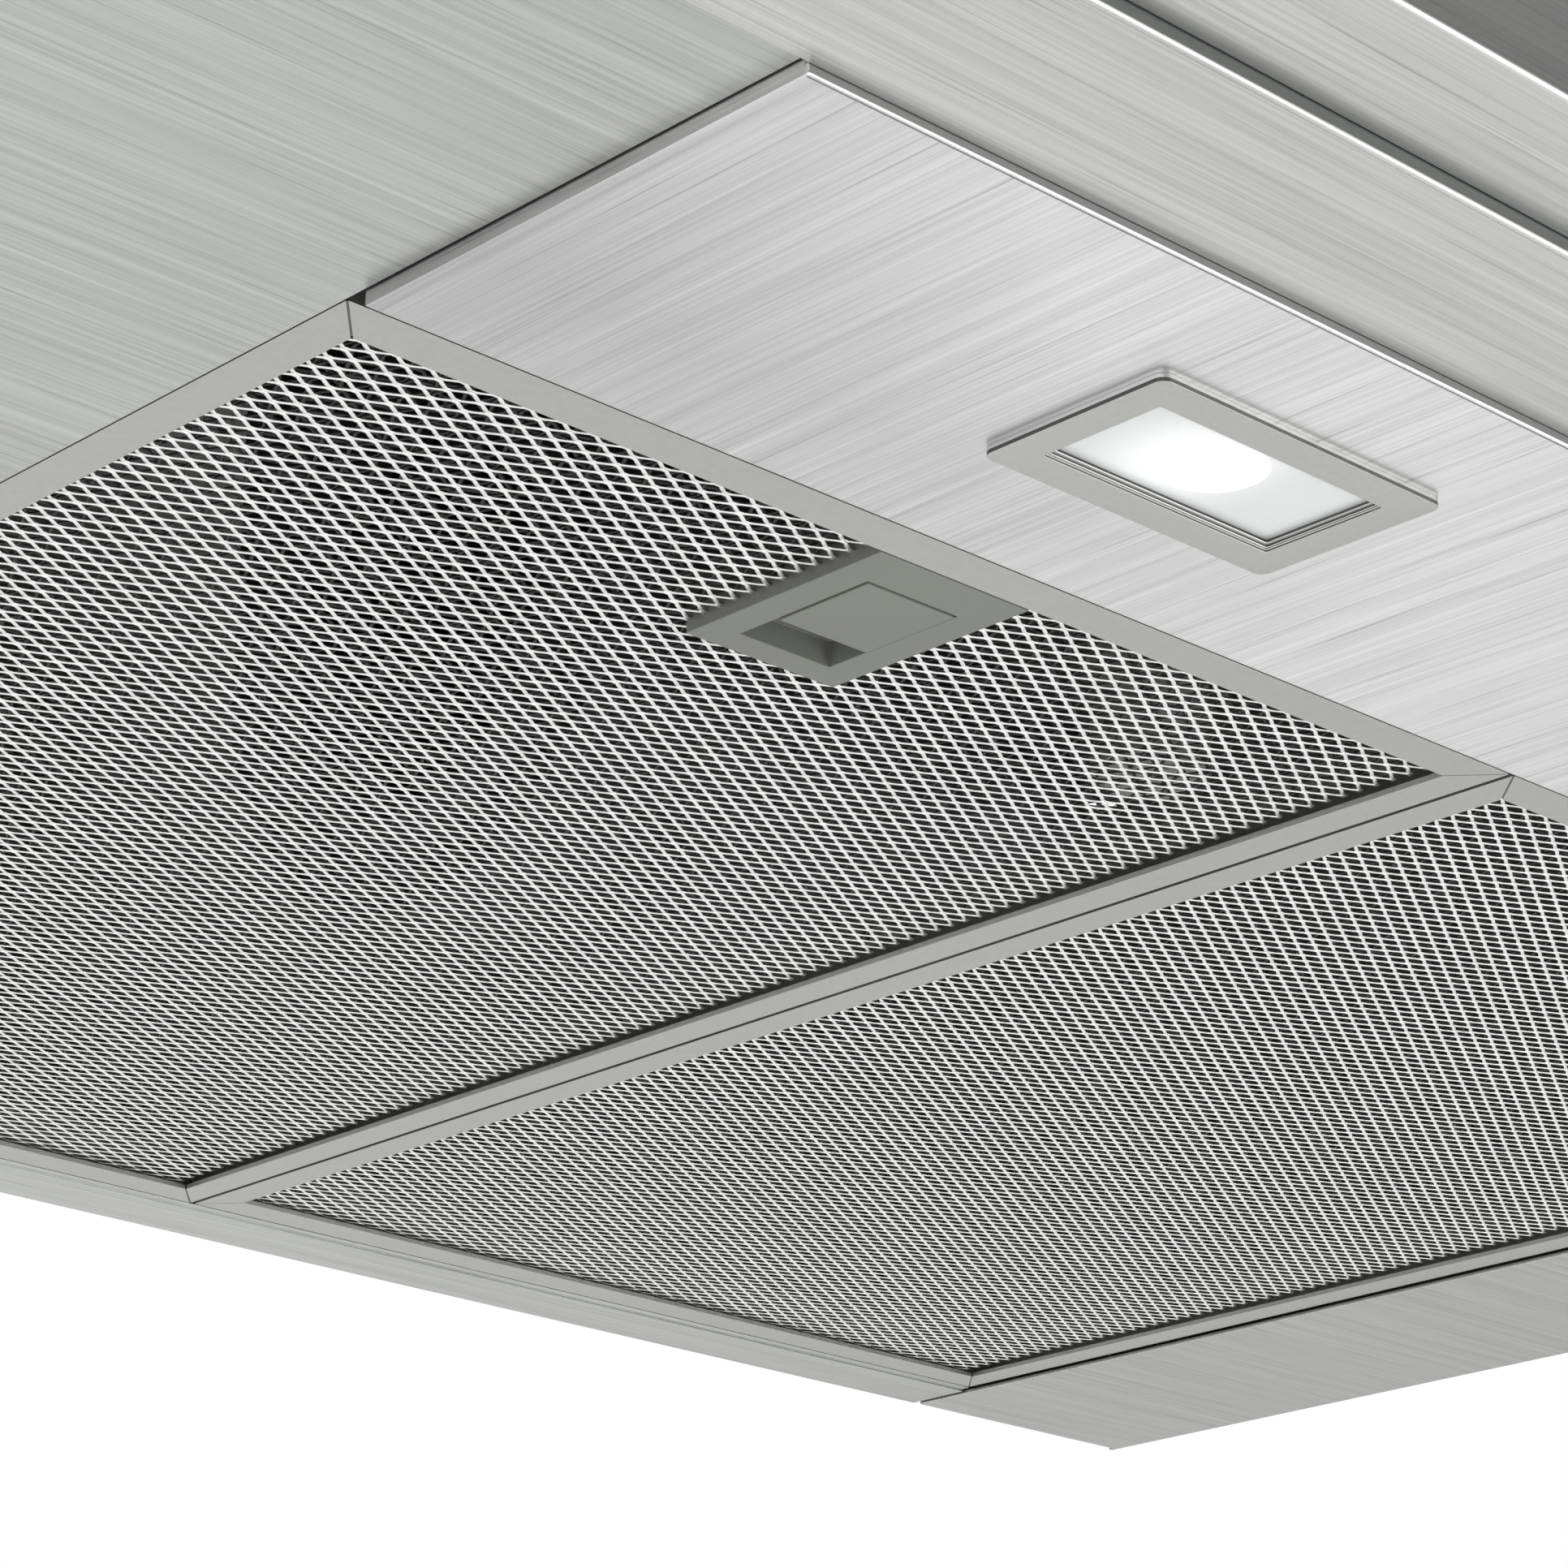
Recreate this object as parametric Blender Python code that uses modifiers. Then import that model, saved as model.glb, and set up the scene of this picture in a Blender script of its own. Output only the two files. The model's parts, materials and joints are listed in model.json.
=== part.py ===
"""Under cabinet range hood, 600 mm wide, built from folded sheet with two hinged grease filters.

Units are metres. +X is to the right, +Y to the wall behind, +Z up. The origin is on the top deck, which goes
against the underside of the cabinet, at mid width on the line of the rear hanging holes.
"""

import math

import bmesh
import bpy
from mathutils import Matrix, Vector

# Overall size
WIDTH = 0.600
DEPTH = 0.4895  # wall to fascia
HEIGHT = 0.150  # top deck to the lamp panel's lower face
WALL_Y = 0.0465  # rear face, behind the line of the rear hanging holes
DECK_DEPTH = 0.3015
FASCIA_HEIGHT = 0.055
SHEET = 0.001
GAP = 0.0003  # between pieces that rest on each other

# Heights of the underside, measured up from the side panels' lower face
PANEL_DROP = 0.002
FILTER_RISE = 0.001
RETURN_RISE = 0.00245
RIM_RISE = 0.0005
RAIL_TURN_UP = 0.008

# Underside, front to back
FASCIA_RETURN = 0.0202
FRONT_RAIL = 0.0300
LAMP_PANEL = 0.0770
LAMP_PANEL_HEIGHT = 0.004
LAMP_PANEL_CORNER = 0.002
CATCH_GAP = 0.0045  # lamp panel to filter
KEEPER_HEIGHT = 0.014
KEEPER_DEPTH = 0.014
REAR_RIM = 0.0163
REAR_LEDGE = 0.0023  # raised inner edge of the rim, on which the filters hang
REAR_GAP = 0.0006  # ledge to filter
FLANGE_SETBACK = 0.0015  # rear end of the side panels

# Underside, side to side
SIDE_PANEL = 0.0699
SIDE_GAP = 0.0013
MIDDLE_GAP = 0.0010

# Grease filters
FRAME_HEIGHT = 0.010
END_LIP = 0.0076  # front and rear rails
SIDE_LIP = 0.0068  # west and east rails
FRAME_WALL = 0.001
MITRE_GAP = 0.0002
MESH_RISE = 0.0015
MESH_SHEET = 0.0008
CORE = 0.0025
TAB_WIDTH = 0.012
TAB_REACH = 0.0065
TAB_INSET = 0.035

# Filter latch
LATCH_WIDTH = 0.0294
LATCH_DEPTH = 0.0396
LATCH_HEIGHT = 0.0087
LATCH_ROOF = 0.0009
WINDOW_WIDTH = 0.0178
WINDOW_DEPTH = 0.0260
WINDOW_SETBACK = 0.0085
CATCH_DEPTH = 0.0178
CATCH_TRAVEL = 0.007
CATCH_CLEARANCE = 0.0003
CATCH_RECESS = 0.0003
CATCH_LIP = 0.0035  # lower part of the catch, under the shelf
SHELF = 0.0006
BOLT_WIDTH = 0.008
BOLT_HEIGHT = 0.0024
BOLT_REACH = 0.0035
SPRING_RADIUS = 0.0010
SPRING_WIRE = 0.0002
SPRING_TURNS = 6
SPRING_STEPS = 10  # per turn

# Lamps
LAMP_X = 0.1204
LAMP_SETBACK = 0.0401  # lamp panel's rear edge to the lamp's centre
BEZEL_WIDTH = 0.0550
BEZEL_DEPTH = 0.0314
BEZEL_PROUD = 0.0012
BEZEL_CORNER = 0.0022
BEZEL_RIM = 0.0057
BEZEL_STEP = 0.0010
BEZEL_STEP_DEPTH = 0.0007
LENS_RECESS = 0.00155
LENS = 0.0015
LENS_LAND = 0.0012
LAMP_BOX_WALL = 0.001
LAMP_BOX_HEIGHT = 0.024
SOURCE_RADIUS = 0.007
SOURCE_HEIGHT = 0.010

# Duct outlet
DUCT_SETBACK = 0.1515  # wall to the duct's axis
COLLAR_RADIUS = 0.060
COLLAR_WALL = 0.002
COLLAR_RISE = 0.045
COLLAR_FLANGE = 0.075
COLLAR_FLANGE_THICKNESS = 0.002
HOLE_CLEARANCE = 0.0006
FLAP_LEVEL = 0.012
FLAP_THICKNESS = 0.001
FLAP_LEDGE = 0.002
FLAP_CLEARANCE = 0.001
PIN_RADIUS = 0.0015
SLEEVE_CLEARANCE = 0.0003
SLEEVE_WALL = 0.001
SLEEVE_LENGTH = 0.010
SLEEVE_NEAR = 0.014  # from the duct's axis
SLEEVE_FAR = 0.038

# Blower
SCROLL_WIDTH = 0.098
SCROLL_WALL = 0.0015
SCROLL_LARGE = 0.060
SCROLL_SMALL = 0.050
SCROLL_SWEEP = 215  # degrees
SCROLL_MOUTH = 0.052
SCROLL_AXIS_DROP = 0.072
INLET_RADIUS = 0.038
INLET_LIP = 0.001  # ring's reach into the inlet
INLET_FLANGE = 0.006
INLET_THICKNESS = 0.0015
INLET_GUARD = 0.003
IMPELLER_RADIUS = 0.046
IMPELLER_WIDTH = 0.076
BLADES = 20
BLADE_DEPTH = 0.008
BLADE_THICKNESS = 0.001
BLADE_PITCH = 35  # degrees
WHEEL_RING = 0.0048  # radial width of the end rings
HUB_RADIUS = 0.009
HUB_WIDTH = 0.024
SHAFT_RADIUS = 0.004
SHAFT_PAST_HUB = 0.003
MOTOR_CLEARANCE = 0.003  # impeller to motor
MOTOR_RADIUS = 0.030
MOTOR_SHOULDER = 0.004
MOTOR_LENGTH = 0.059
BORE_DEPTH = 0.013
BRACKET_RING = 0.004
BRACKET_THICKNESS = 0.003
BRACKET_ARM = 0.008
BRACKET_REACH = 0.048
BRACKET_ARMS = 3
CAPACITOR_RADIUS = 0.013
CAPACITOR_BEVEL = 0.003
CAPACITOR_LENGTH = 0.050
CAPACITOR_X = 0.150

# Supply
BOX_WIDTH = 0.080
BOX_DEPTH = 0.050
BOX_HEIGHT = 0.032
GLAND_X = -0.200
GLAND_RADIUS = 0.008
GLAND_NUT = 0.012
GLAND_NUT_THICKNESS = 0.004
GLAND_RISE = 0.010
GLAND_BORE = 0.0042
GLAND_CONE = 0.003
GLAND_TAPER = 0.002

# Hanging holes
HANGER_X = 0.250
HANGER_SPACING_Y = 0.210
HANGER_RADIUS = 0.004
HANGER_ROWS = (("rear", 0.0), ("front", -HANGER_SPACING_Y))

# Controls
CONTROL_X = 0.175
CONTROL_WIDTH = 0.130
CONTROL_HEIGHT = 0.024
CONTROL_DEPTH = 0.0035
CONTROL_CORNER = 0.001
BUTTON_WIDTH = 0.020
BUTTON_HEIGHT = 0.011
BUTTON_PITCH = 0.029
BUTTON_PROUD = 0.0015
BUTTON_DEPTH = 0.010
BUTTON_CLEARANCE = 0.0004
BUTTON_TRAVEL = 0.002
BUTTON_NAMES = ("lamp", "low", "medium", "high")
SWITCH_DEPTH = 0.018

# Derived planes
PANEL_Z = -HEIGHT + PANEL_DROP
FILTER_Z = PANEL_Z + FILTER_RISE
RETURN_Z = PANEL_Z + RETURN_RISE
FASCIA_TOP = RETURN_Z + FASCIA_HEIGHT
FRONT_Y = WALL_Y - DEPTH
DECK_Y = WALL_Y - DECK_DEPTH
RAIL_Y = FRONT_Y + FASCIA_RETURN
RAIL_REAR = RAIL_Y + FRONT_RAIL
LAMP_Y = RAIL_REAR + GAP
LAMP_REAR = LAMP_Y + LAMP_PANEL
FILTER_Y = LAMP_REAR + CATCH_GAP
RIM_Z = PANEL_Z + RIM_RISE
RIM_Y = WALL_Y - REAR_RIM
LEDGE_Y = RIM_Y - REAR_LEDGE
FILTER_REAR = LEDGE_Y - REAR_GAP
INSIDE_X = WIDTH / 2 - SHEET - GAP
OPENING_X = WIDTH / 2 - SIDE_PANEL
FILTER_OUTER = OPENING_X - SIDE_GAP
FILTER_INNER = MIDDLE_GAP / 2
FILTER_X = (FILTER_OUTER + FILTER_INNER) / 2
FILTER_WIDTH = FILTER_OUTER - FILTER_INNER
FILTER_LENGTH = FILTER_REAR - FILTER_Y
DUCT_Y = WALL_Y - DUCT_SETBACK
SCROLL_Z = -SCROLL_AXIS_DROP
LAMP_CENTRE_Y = LAMP_REAR - LAMP_SETBACK
BEZEL_WINDOW_X = BEZEL_WIDTH - 2 * BEZEL_RIM
BEZEL_WINDOW_Y = BEZEL_DEPTH - 2 * BEZEL_RIM
LENS_X = BEZEL_WINDOW_X - 2 * BEZEL_STEP + 2 * LENS_LAND
LENS_Y = BEZEL_WINDOW_Y - 2 * BEZEL_STEP + 2 * LENS_LAND
LAMP_BOX_X = LENS_X + 2 * (LAMP_BOX_WALL + 2 * GAP)
LAMP_BOX_Y = LENS_Y + 2 * (LAMP_BOX_WALL + 2 * GAP)
CONTROL_Z = (FASCIA_TOP + RETURN_Z) / 2

SIDES = (("left", -1), ("right", 1))


# Scene and materials


def new_collection(name):
    collection = bpy.data.collections.new(name)
    bpy.context.scene.collection.children.link(collection)
    return collection


def new_material(name, color, roughness, metallic):
    material = bpy.data.materials.new(name)
    material.use_nodes = True
    shader = material.node_tree.nodes["Principled BSDF"]
    shader.inputs["Base Color"].default_value = (*color, 1.0)
    shader.inputs["Roughness"].default_value = roughness
    shader.inputs["Metallic"].default_value = metallic
    return material


for old in list(bpy.data.objects):
    bpy.data.objects.remove(old, do_unlink=True)

PARTS = new_collection("under_cabinet_range_hood")
CUTTERS = new_collection("cutters")

LOOKS = {
    "steel": new_material("brushed_steel", (0.62, 0.63, 0.62), 0.35, 1.0),
    "lamp_steel": new_material("lamp_panel_steel", (0.74, 0.74, 0.73), 0.32, 1.0),
    "zinc": new_material("zinc_coated_steel", (0.50, 0.52, 0.53), 0.45, 1.0),
    "frame": new_material("satin_aluminium", (0.66, 0.67, 0.64), 0.40, 1.0),
    "mesh": new_material("expanded_aluminium", (0.80, 0.80, 0.80), 0.35, 1.0),
    "latch": new_material("grey_plastic", (0.24, 0.25, 0.23), 0.50, 0.0),
    "bezel": new_material("satin_nickel_trim", (0.62, 0.62, 0.60), 0.40, 1.0),
    "lens": new_material("frosted_lens", (0.95, 0.95, 0.92), 0.55, 0.0),
    "white": new_material("white_plastic", (0.80, 0.80, 0.77), 0.45, 0.0),
    "black": new_material("black_plastic", (0.03, 0.03, 0.03), 0.50, 0.0),
    "impeller": new_material("impeller_plastic", (0.10, 0.10, 0.11), 0.50, 0.0),
    "motor": new_material("motor_casing", (0.40, 0.41, 0.42), 0.40, 1.0),
    "spring": new_material("spring_steel", (0.70, 0.70, 0.70), 0.25, 1.0),
}


# Shapes

# A flat outline in (a, b) is drawn in XY, and these turn its thickness to another axis.
THICKNESS_ALONG = {
    "X": Matrix(((0, 0, 1, 0), (1, 0, 0, 0), (0, 1, 0, 0), (0, 0, 0, 1))),
    "Y": Matrix(((1, 0, 0, 0), (0, 0, -1, 0), (0, 1, 0, 0), (0, 0, 0, 1))),
    "Z": Matrix.Identity(4),
}
ALONG = {"X": (0, math.pi / 2, 0), "Y": (-math.pi / 2, 0, 0), "Z": (0, 0, 0)}


def new_part(name, mesh, look, location):
    mesh.name = name
    mesh.materials.clear()
    mesh.materials.append(LOOKS[look])
    part = bpy.data.objects.new(name, mesh)
    part.location = location
    PARTS.objects.link(part)
    return part


def mesh_of(shape):
    mesh = bpy.data.meshes.new("shape")
    shape.to_mesh(mesh)
    shape.free()
    return mesh


def block(name, low, high, look="zinc"):
    """A box between two opposite corners."""
    low, high = Vector(low), Vector(high)
    shape = bmesh.new()
    bmesh.ops.create_cube(shape, size=1.0, matrix=Matrix.Diagonal((*(high - low), 1.0)))
    return new_part(name, mesh_of(shape), look, (low + high) / 2)


def cylinder(name, radius, length, centre, axis="Z", look="zinc", segments=32):
    shape = bmesh.new()
    bmesh.ops.create_cone(
        shape, cap_ends=True, segments=segments, radius1=radius, radius2=radius, depth=length
    )
    mesh = mesh_of(shape)
    part = new_part(name, mesh, look, centre)
    part.rotation_euler = ALONG[axis]
    mesh.shade_smooth()
    mesh.set_sharp_from_angle(angle=math.radians(40))
    return part


def welded_mesh(curve):
    """The mesh that a curve object draws, with its loose caps joined to its sides. The curve is removed."""
    bpy.context.scene.collection.objects.link(curve)
    graph = bpy.context.evaluated_depsgraph_get()
    mesh = bpy.data.meshes.new_from_object(curve.evaluated_get(graph))
    bpy.data.objects.remove(curve, do_unlink=True)
    shape = bmesh.new()
    shape.from_mesh(mesh)
    bmesh.ops.remove_doubles(shape, verts=shape.verts, dist=1e-6)
    bmesh.ops.recalc_face_normals(shape, faces=shape.faces)
    shape.to_mesh(mesh)
    shape.free()
    return mesh


def new_spline(name, points, dimensions):
    data = bpy.data.curves.new(name, "CURVE")
    data.dimensions = dimensions
    spline = data.splines.new("POLY")
    spline.points.add(len(points) - 1)
    for spot, point in zip(spline.points, points):
        spot.co = (*Vector(point).to_3d(), 1.0)
    return data, spline


def plate(name, outline, low, high, look="zinc", axis="Z"):
    """A flat outline with straight sides from low to high along an axis.

    The outline is in (Y, Z) for axis X, in (X, Z) for axis Y and in (X, Y) for axis Z.
    """
    data, spline = new_spline(name, outline, "2D")
    spline.use_cyclic_u = True
    data.fill_mode = "BOTH"
    data.extrude = (high - low) / 2
    mesh = welded_mesh(bpy.data.objects.new(name + "_outline", data))
    mesh.transform(THICKNESS_ALONG[axis])
    middle = (low + high) / 2
    return new_part(name, mesh, look, [middle if letter == axis else 0.0 for letter in "XYZ"])


def turned(name, profile, centre, axis="Z", look="zinc", steps=40, closed=False):
    """A profile of (radius, height) turned about an axis, running down its outer side."""
    shape = bmesh.new()
    corners = [shape.verts.new((radius, 0.0, height)) for radius, height in profile]
    for first, second in zip(corners, corners[1:]):
        shape.edges.new((first, second))
    if closed:
        shape.edges.new((corners[-1], corners[0]))
    part = new_part(name, mesh_of(shape), look, centre)
    part.rotation_euler = ALONG[axis]
    turn = part.modifiers.new("turn", "SCREW")
    turn.steps = turn.render_steps = steps
    turn.use_merge_vertices = True
    turn.merge_threshold = 1e-5
    turn.use_smooth_shade = True
    return part


def tube(name, points, radius, look="spring"):
    """A wire of round section through the points."""
    data, _ = new_spline(name, points, "3D")
    data.bevel_depth = radius
    data.bevel_resolution = 1
    data.use_fill_caps = True
    mesh = welded_mesh(bpy.data.objects.new(name + "_path", data))
    mesh.shade_smooth()
    return new_part(name, mesh, look, (0.0, 0.0, 0.0))


def rounded(width, depth, radius, centre=(0.0, 0.0), steps=5):
    """A rectangle with four round corners, anticlockwise."""
    outline = []
    for quarter, (sx, sy) in enumerate(((1, 1), (-1, 1), (-1, -1), (1, -1))):
        middle_x = centre[0] + sx * (width / 2 - radius)
        middle_y = centre[1] + sy * (depth / 2 - radius)
        for step in range(steps + 1):
            angle = math.radians(90 * (quarter + step / steps))
            outline.append((middle_x + radius * math.cos(angle), middle_y + radius * math.sin(angle)))
    return outline


def combine(part, tool, operation):
    PARTS.objects.unlink(tool)
    CUTTERS.objects.link(tool)
    tool.hide_render = True
    tool.display_type = "WIRE"
    change = part.modifiers.new(tool.name, "BOOLEAN")
    change.operation = operation
    change.object = tool


def cut(part, *tools):
    for tool in tools:
        combine(part, tool, "DIFFERENCE")


def join(part, *tools):
    for tool in tools:
        combine(part, tool, "UNION")


def hinge_line(name, centre):
    """An empty on a joint's axis, which the moving pieces hang from."""
    empty = bpy.data.objects.new(name, None)
    empty.location = centre
    PARTS.objects.link(empty)
    return empty


def hang(part, parent):
    """Parents a piece that was placed in world coordinates."""
    part.location = part.location - parent.location
    part.parent = parent
    return part


# Casing


def casing():
    deck = block(
        "top_deck",
        (-INSIDE_X, DECK_Y + GAP, -SHEET),
        (INSIDE_X, WALL_Y - SHEET - GAP, 0.0),
        "steel",
    )
    through = 4 * SHEET
    cut(deck, cylinder("duct_hole", COLLAR_RADIUS + HOLE_CLEARANCE, through, (0, DUCT_Y, 0), segments=64))
    cut(deck, cylinder("gland_hole", GLAND_RADIUS + HOLE_CLEARANCE, through, (GLAND_X, 0, 0), segments=24))
    for side, sign in SIDES:
        for row, y in HANGER_ROWS:
            hole = cylinder(f"hanger_hole_{side}_{row}", HANGER_RADIUS, through, (sign * HANGER_X, y, 0))
            cut(deck, hole)

    rear = block(
        "rear_shell",
        (-INSIDE_X, WALL_Y - SHEET, PANEL_Z + SHEET + GAP),
        (INSIDE_X, WALL_Y, 0.0),
        "steel",
    )
    rim_x = OPENING_X - 2 * GAP
    rim = [
        (WALL_Y, RIM_Z),
        (RIM_Y, RIM_Z),
        (RIM_Y, FILTER_Z),
        (LEDGE_Y, FILTER_Z),
        (LEDGE_Y, FILTER_Z + SHEET),
        (RIM_Y + SHEET, FILTER_Z + SHEET),
        (RIM_Y + SHEET, RIM_Z + SHEET),
        (WALL_Y - SHEET, RIM_Z + SHEET),
        (WALL_Y - SHEET, RIM_Z + 3 * SHEET),
        (WALL_Y, RIM_Z + 3 * SHEET),
    ]
    join(rear, plate("rear_rim", rim, -rim_x, rim_x, axis="X"))

    profile = [
        (WALL_Y, PANEL_Z),
        (WALL_Y, 0.0),
        (DECK_Y, 0.0),
        (FRONT_Y + SHEET + GAP, FASCIA_TOP + SHEET / 2),
        (FRONT_Y + SHEET + GAP, PANEL_Z),
    ]
    for side, sign in SIDES:
        outer, inner = sorted((sign * WIDTH / 2, sign * (WIDTH / 2 - SHEET)))
        shell = plate(f"side_shell_{side}", profile, outer, inner, "steel", axis="X")
        low_x, high_x = sorted((sign * (WIDTH / 2 - SHEET / 2), sign * OPENING_X))
        join(
            shell,
            block(
                f"side_flange_{side}",
                (low_x, RAIL_REAR + GAP, PANEL_Z),
                (high_x, WALL_Y - FLANGE_SETBACK, PANEL_Z + SHEET),
            ),
        )

    rise, run = -FASCIA_TOP, DECK_Y - FRONT_Y
    length = math.hypot(rise, run)
    along = Vector((run, rise)) / length
    inward = Vector((rise, -run)) / length
    edge = 1.5 * SHEET
    foot = Vector((FRONT_Y, FASCIA_TOP)) + along * edge
    head = Vector((DECK_Y, 0.0)) - along * edge
    outline = [foot, head, head + inward * SHEET, foot + inward * SHEET]
    plate("slope_panel", [tuple(point) for point in outline], -INSIDE_X, INSIDE_X, "steel", axis="X")

    fascia = plate(
        "front_fascia",
        [
            (FRONT_Y, RETURN_Z),
            (RAIL_Y - GAP, RETURN_Z),
            (RAIL_Y - GAP, RETURN_Z + SHEET),
            (FRONT_Y + SHEET, RETURN_Z + SHEET),
            (FRONT_Y + SHEET, FASCIA_TOP),
            (FRONT_Y, FASCIA_TOP),
        ],
        -WIDTH / 2,
        WIDTH / 2,
        "steel",
        axis="X",
    )
    # The return lies between the side shells, and the face covers their front edges.
    for side, sign in SIDES:
        low_x, high_x = sorted((sign * INSIDE_X, sign * WIDTH))
        cut(
            fascia,
            block(
                f"return_end_{side}",
                (low_x, FRONT_Y + SHEET, RETURN_Z - SHEET),
                (high_x, RAIL_Y + SHEET, RETURN_Z + 2 * SHEET),
            ),
        )
    window_x, window_z = CONTROL_WIDTH / 2 + GAP, CONTROL_HEIGHT / 2 + GAP
    cut(
        fascia,
        block(
            "control_window",
            (CONTROL_X - window_x, FRONT_Y - SHEET, CONTROL_Z - window_z),
            (CONTROL_X + window_x, FRONT_Y + 3 * SHEET, CONTROL_Z + window_z),
        ),
    )

    plate(
        "front_rail",
        [
            (RAIL_Y, PANEL_Z),
            (RAIL_REAR, PANEL_Z),
            (RAIL_REAR, PANEL_Z + SHEET),
            (RAIL_Y + SHEET, PANEL_Z + SHEET),
            (RAIL_Y + SHEET, PANEL_Z + RAIL_TURN_UP),
            (RAIL_Y, PANEL_Z + RAIL_TURN_UP),
        ],
        -INSIDE_X,
        INSIDE_X,
        "steel",
        axis="X",
    )


def lamp_panel():
    """A shallow tray with a window for each lamp, and the rail that the filter catches meet."""
    width, middle_y = 2 * (OPENING_X - GAP), (LAMP_Y + LAMP_REAR) / 2
    outline = rounded(width, LAMP_PANEL, LAMP_PANEL_CORNER, (0.0, middle_y), steps=4)
    tray = plate("lamp_panel", outline, -HEIGHT, -HEIGHT + LAMP_PANEL_HEIGHT, "lamp_steel")
    inner = rounded(
        width - 2 * SHEET, LAMP_PANEL - 2 * SHEET, LAMP_PANEL_CORNER - SHEET, (0.0, middle_y), steps=4
    )
    cut(tray, plate("tray_hollow", inner, -HEIGHT + SHEET, -HEIGHT + 2 * LAMP_PANEL_HEIGHT))
    window_x, window_y = LAMP_BOX_X / 2 + GAP, LAMP_BOX_Y / 2 + GAP
    for side, sign in SIDES:
        window = block(
            f"lamp_window_{side}",
            (sign * LAMP_X - window_x, LAMP_CENTRE_Y - window_y, -HEIGHT - SHEET),
            (sign * LAMP_X + window_x, LAMP_CENTRE_Y + window_y, -HEIGHT + 2 * SHEET),
        )
        cut(tray, window)

    keeper_z = -HEIGHT + LAMP_PANEL_HEIGHT + GAP
    keeper_top = keeper_z + KEEPER_HEIGHT
    plate(
        "keeper_rail",
        [
            (LAMP_REAR, keeper_z),
            (LAMP_REAR, keeper_top),
            (LAMP_REAR - KEEPER_DEPTH, keeper_top),
            (LAMP_REAR - KEEPER_DEPTH, keeper_top - SHEET),
            (LAMP_REAR - SHEET, keeper_top - SHEET),
            (LAMP_REAR - SHEET, keeper_z),
        ],
        -(OPENING_X - GAP),
        OPENING_X - GAP,
        axis="X",
    )


# Grease filters


def mitred_rail(name, length, middle, heading, lip, next_lip):
    """A channel that opens inwards, its ends mitred. The heading turns inwards from +Y."""
    profile = [
        (0.0, 0.0),
        (lip, 0.0),
        (lip, FRAME_WALL),
        (FRAME_WALL, FRAME_WALL),
        (FRAME_WALL, FRAME_HEIGHT - FRAME_WALL),
        (lip, FRAME_HEIGHT - FRAME_WALL),
        (lip, FRAME_HEIGHT),
        (0.0, FRAME_HEIGHT),
    ]
    rail = plate(name, profile, -length / 2, length / 2, "frame", axis="X")
    for corner in rail.data.vertices:
        inward = corner.co.y * next_lip / lip
        corner.co.x -= math.copysign(inward + MITRE_GAP, corner.co.x)
    rail.location = (*middle, FILTER_Z)
    rail.rotation_euler = (0.0, 0.0, math.radians(heading))
    return rail


def spring_path(start_y, end_y, x, z):
    count = SPRING_TURNS * SPRING_STEPS
    for step in range(count + 1):
        angle = 2 * math.pi * step / SPRING_STEPS
        y = start_y + (end_y - start_y) * step / count
        yield (x + SPRING_RADIUS * math.cos(angle), y, z + SPRING_RADIUS * math.sin(angle))


def filter_latch(side, x, line):
    front = FILTER_Y + END_LIP + GAP
    rear = front + LATCH_DEPTH
    top = FILTER_Z + LATCH_HEIGHT
    ceiling = top - LATCH_ROOF
    window_front = front + WINDOW_SETBACK
    window_rear = window_front + WINDOW_DEPTH
    half_window = WINDOW_WIDTH / 2
    housing = block(
        f"filter_{side}_latch_housing",
        (x - LATCH_WIDTH / 2, front, FILTER_Z),
        (x + LATCH_WIDTH / 2, rear, top),
        "latch",
    )
    cut(
        housing,
        block(
            f"latch_pocket_{side}",
            (x - half_window, window_front, FILTER_Z - SHEET),
            (x + half_window, window_rear, ceiling),
        ),
    )
    catch_low = FILTER_Z + CATCH_RECESS
    lip_top = catch_low + CATCH_LIP
    shelf_low = lip_top + CATCH_CLEARANCE
    catch_front = window_front + CATCH_CLEARANCE
    catch_rear = catch_front + CATCH_DEPTH
    shelf_front = catch_rear + CATCH_CLEARANCE
    join(
        housing,
        block(
            f"latch_shelf_{side}",
            (x - half_window - SHEET, shelf_front, shelf_low),
            (x + half_window + SHEET, window_rear + SHEET, shelf_low + SHELF),
        ),
    )
    catch_top = ceiling - CATCH_CLEARANCE
    bolt_top = catch_top - CATCH_CLEARANCE
    bolt_low = bolt_top - BOLT_HEIGHT
    bolt_x = BOLT_WIDTH / 2
    channel = (
        (x - bolt_x - CATCH_CLEARANCE, FILTER_Y - END_LIP, bolt_low - CATCH_CLEARANCE),
        (x + bolt_x + CATCH_CLEARANCE, window_front + SHEET, bolt_top + CATCH_CLEARANCE),
    )
    cut(housing, block(f"bolt_channel_{side}", *channel))

    half_catch = half_window - CATCH_CLEARANCE
    block_rear = shelf_front - CATCH_CLEARANCE - CATCH_TRAVEL
    catch = block(
        f"filter_{side}_latch_catch",
        (x - half_catch, catch_front, catch_low),
        (x + half_catch, catch_rear, lip_top),
        "latch",
    )
    join(
        catch,
        block(
            f"catch_block_{side}",
            (x - half_catch + GAP, catch_front, lip_top - SHEET),
            (x + half_catch - GAP, block_rear, catch_top),
        ),
        block(
            f"catch_bolt_{side}",
            (x - bolt_x, FILTER_Y - BOLT_REACH, bolt_low),
            (x + bolt_x, catch_front + SHEET, bolt_top),
        ),
    )
    spring_z = (shelf_low + SHELF + ceiling) / 2
    seat = GAP + SPRING_WIRE
    points = list(spring_path(block_rear + seat, window_rear - seat, x, spring_z))
    spring = tube(f"filter_{side}_latch_spring", points, SPRING_WIRE)
    for piece in (housing, catch, spring):
        hang(piece, line)
    return channel


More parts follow.
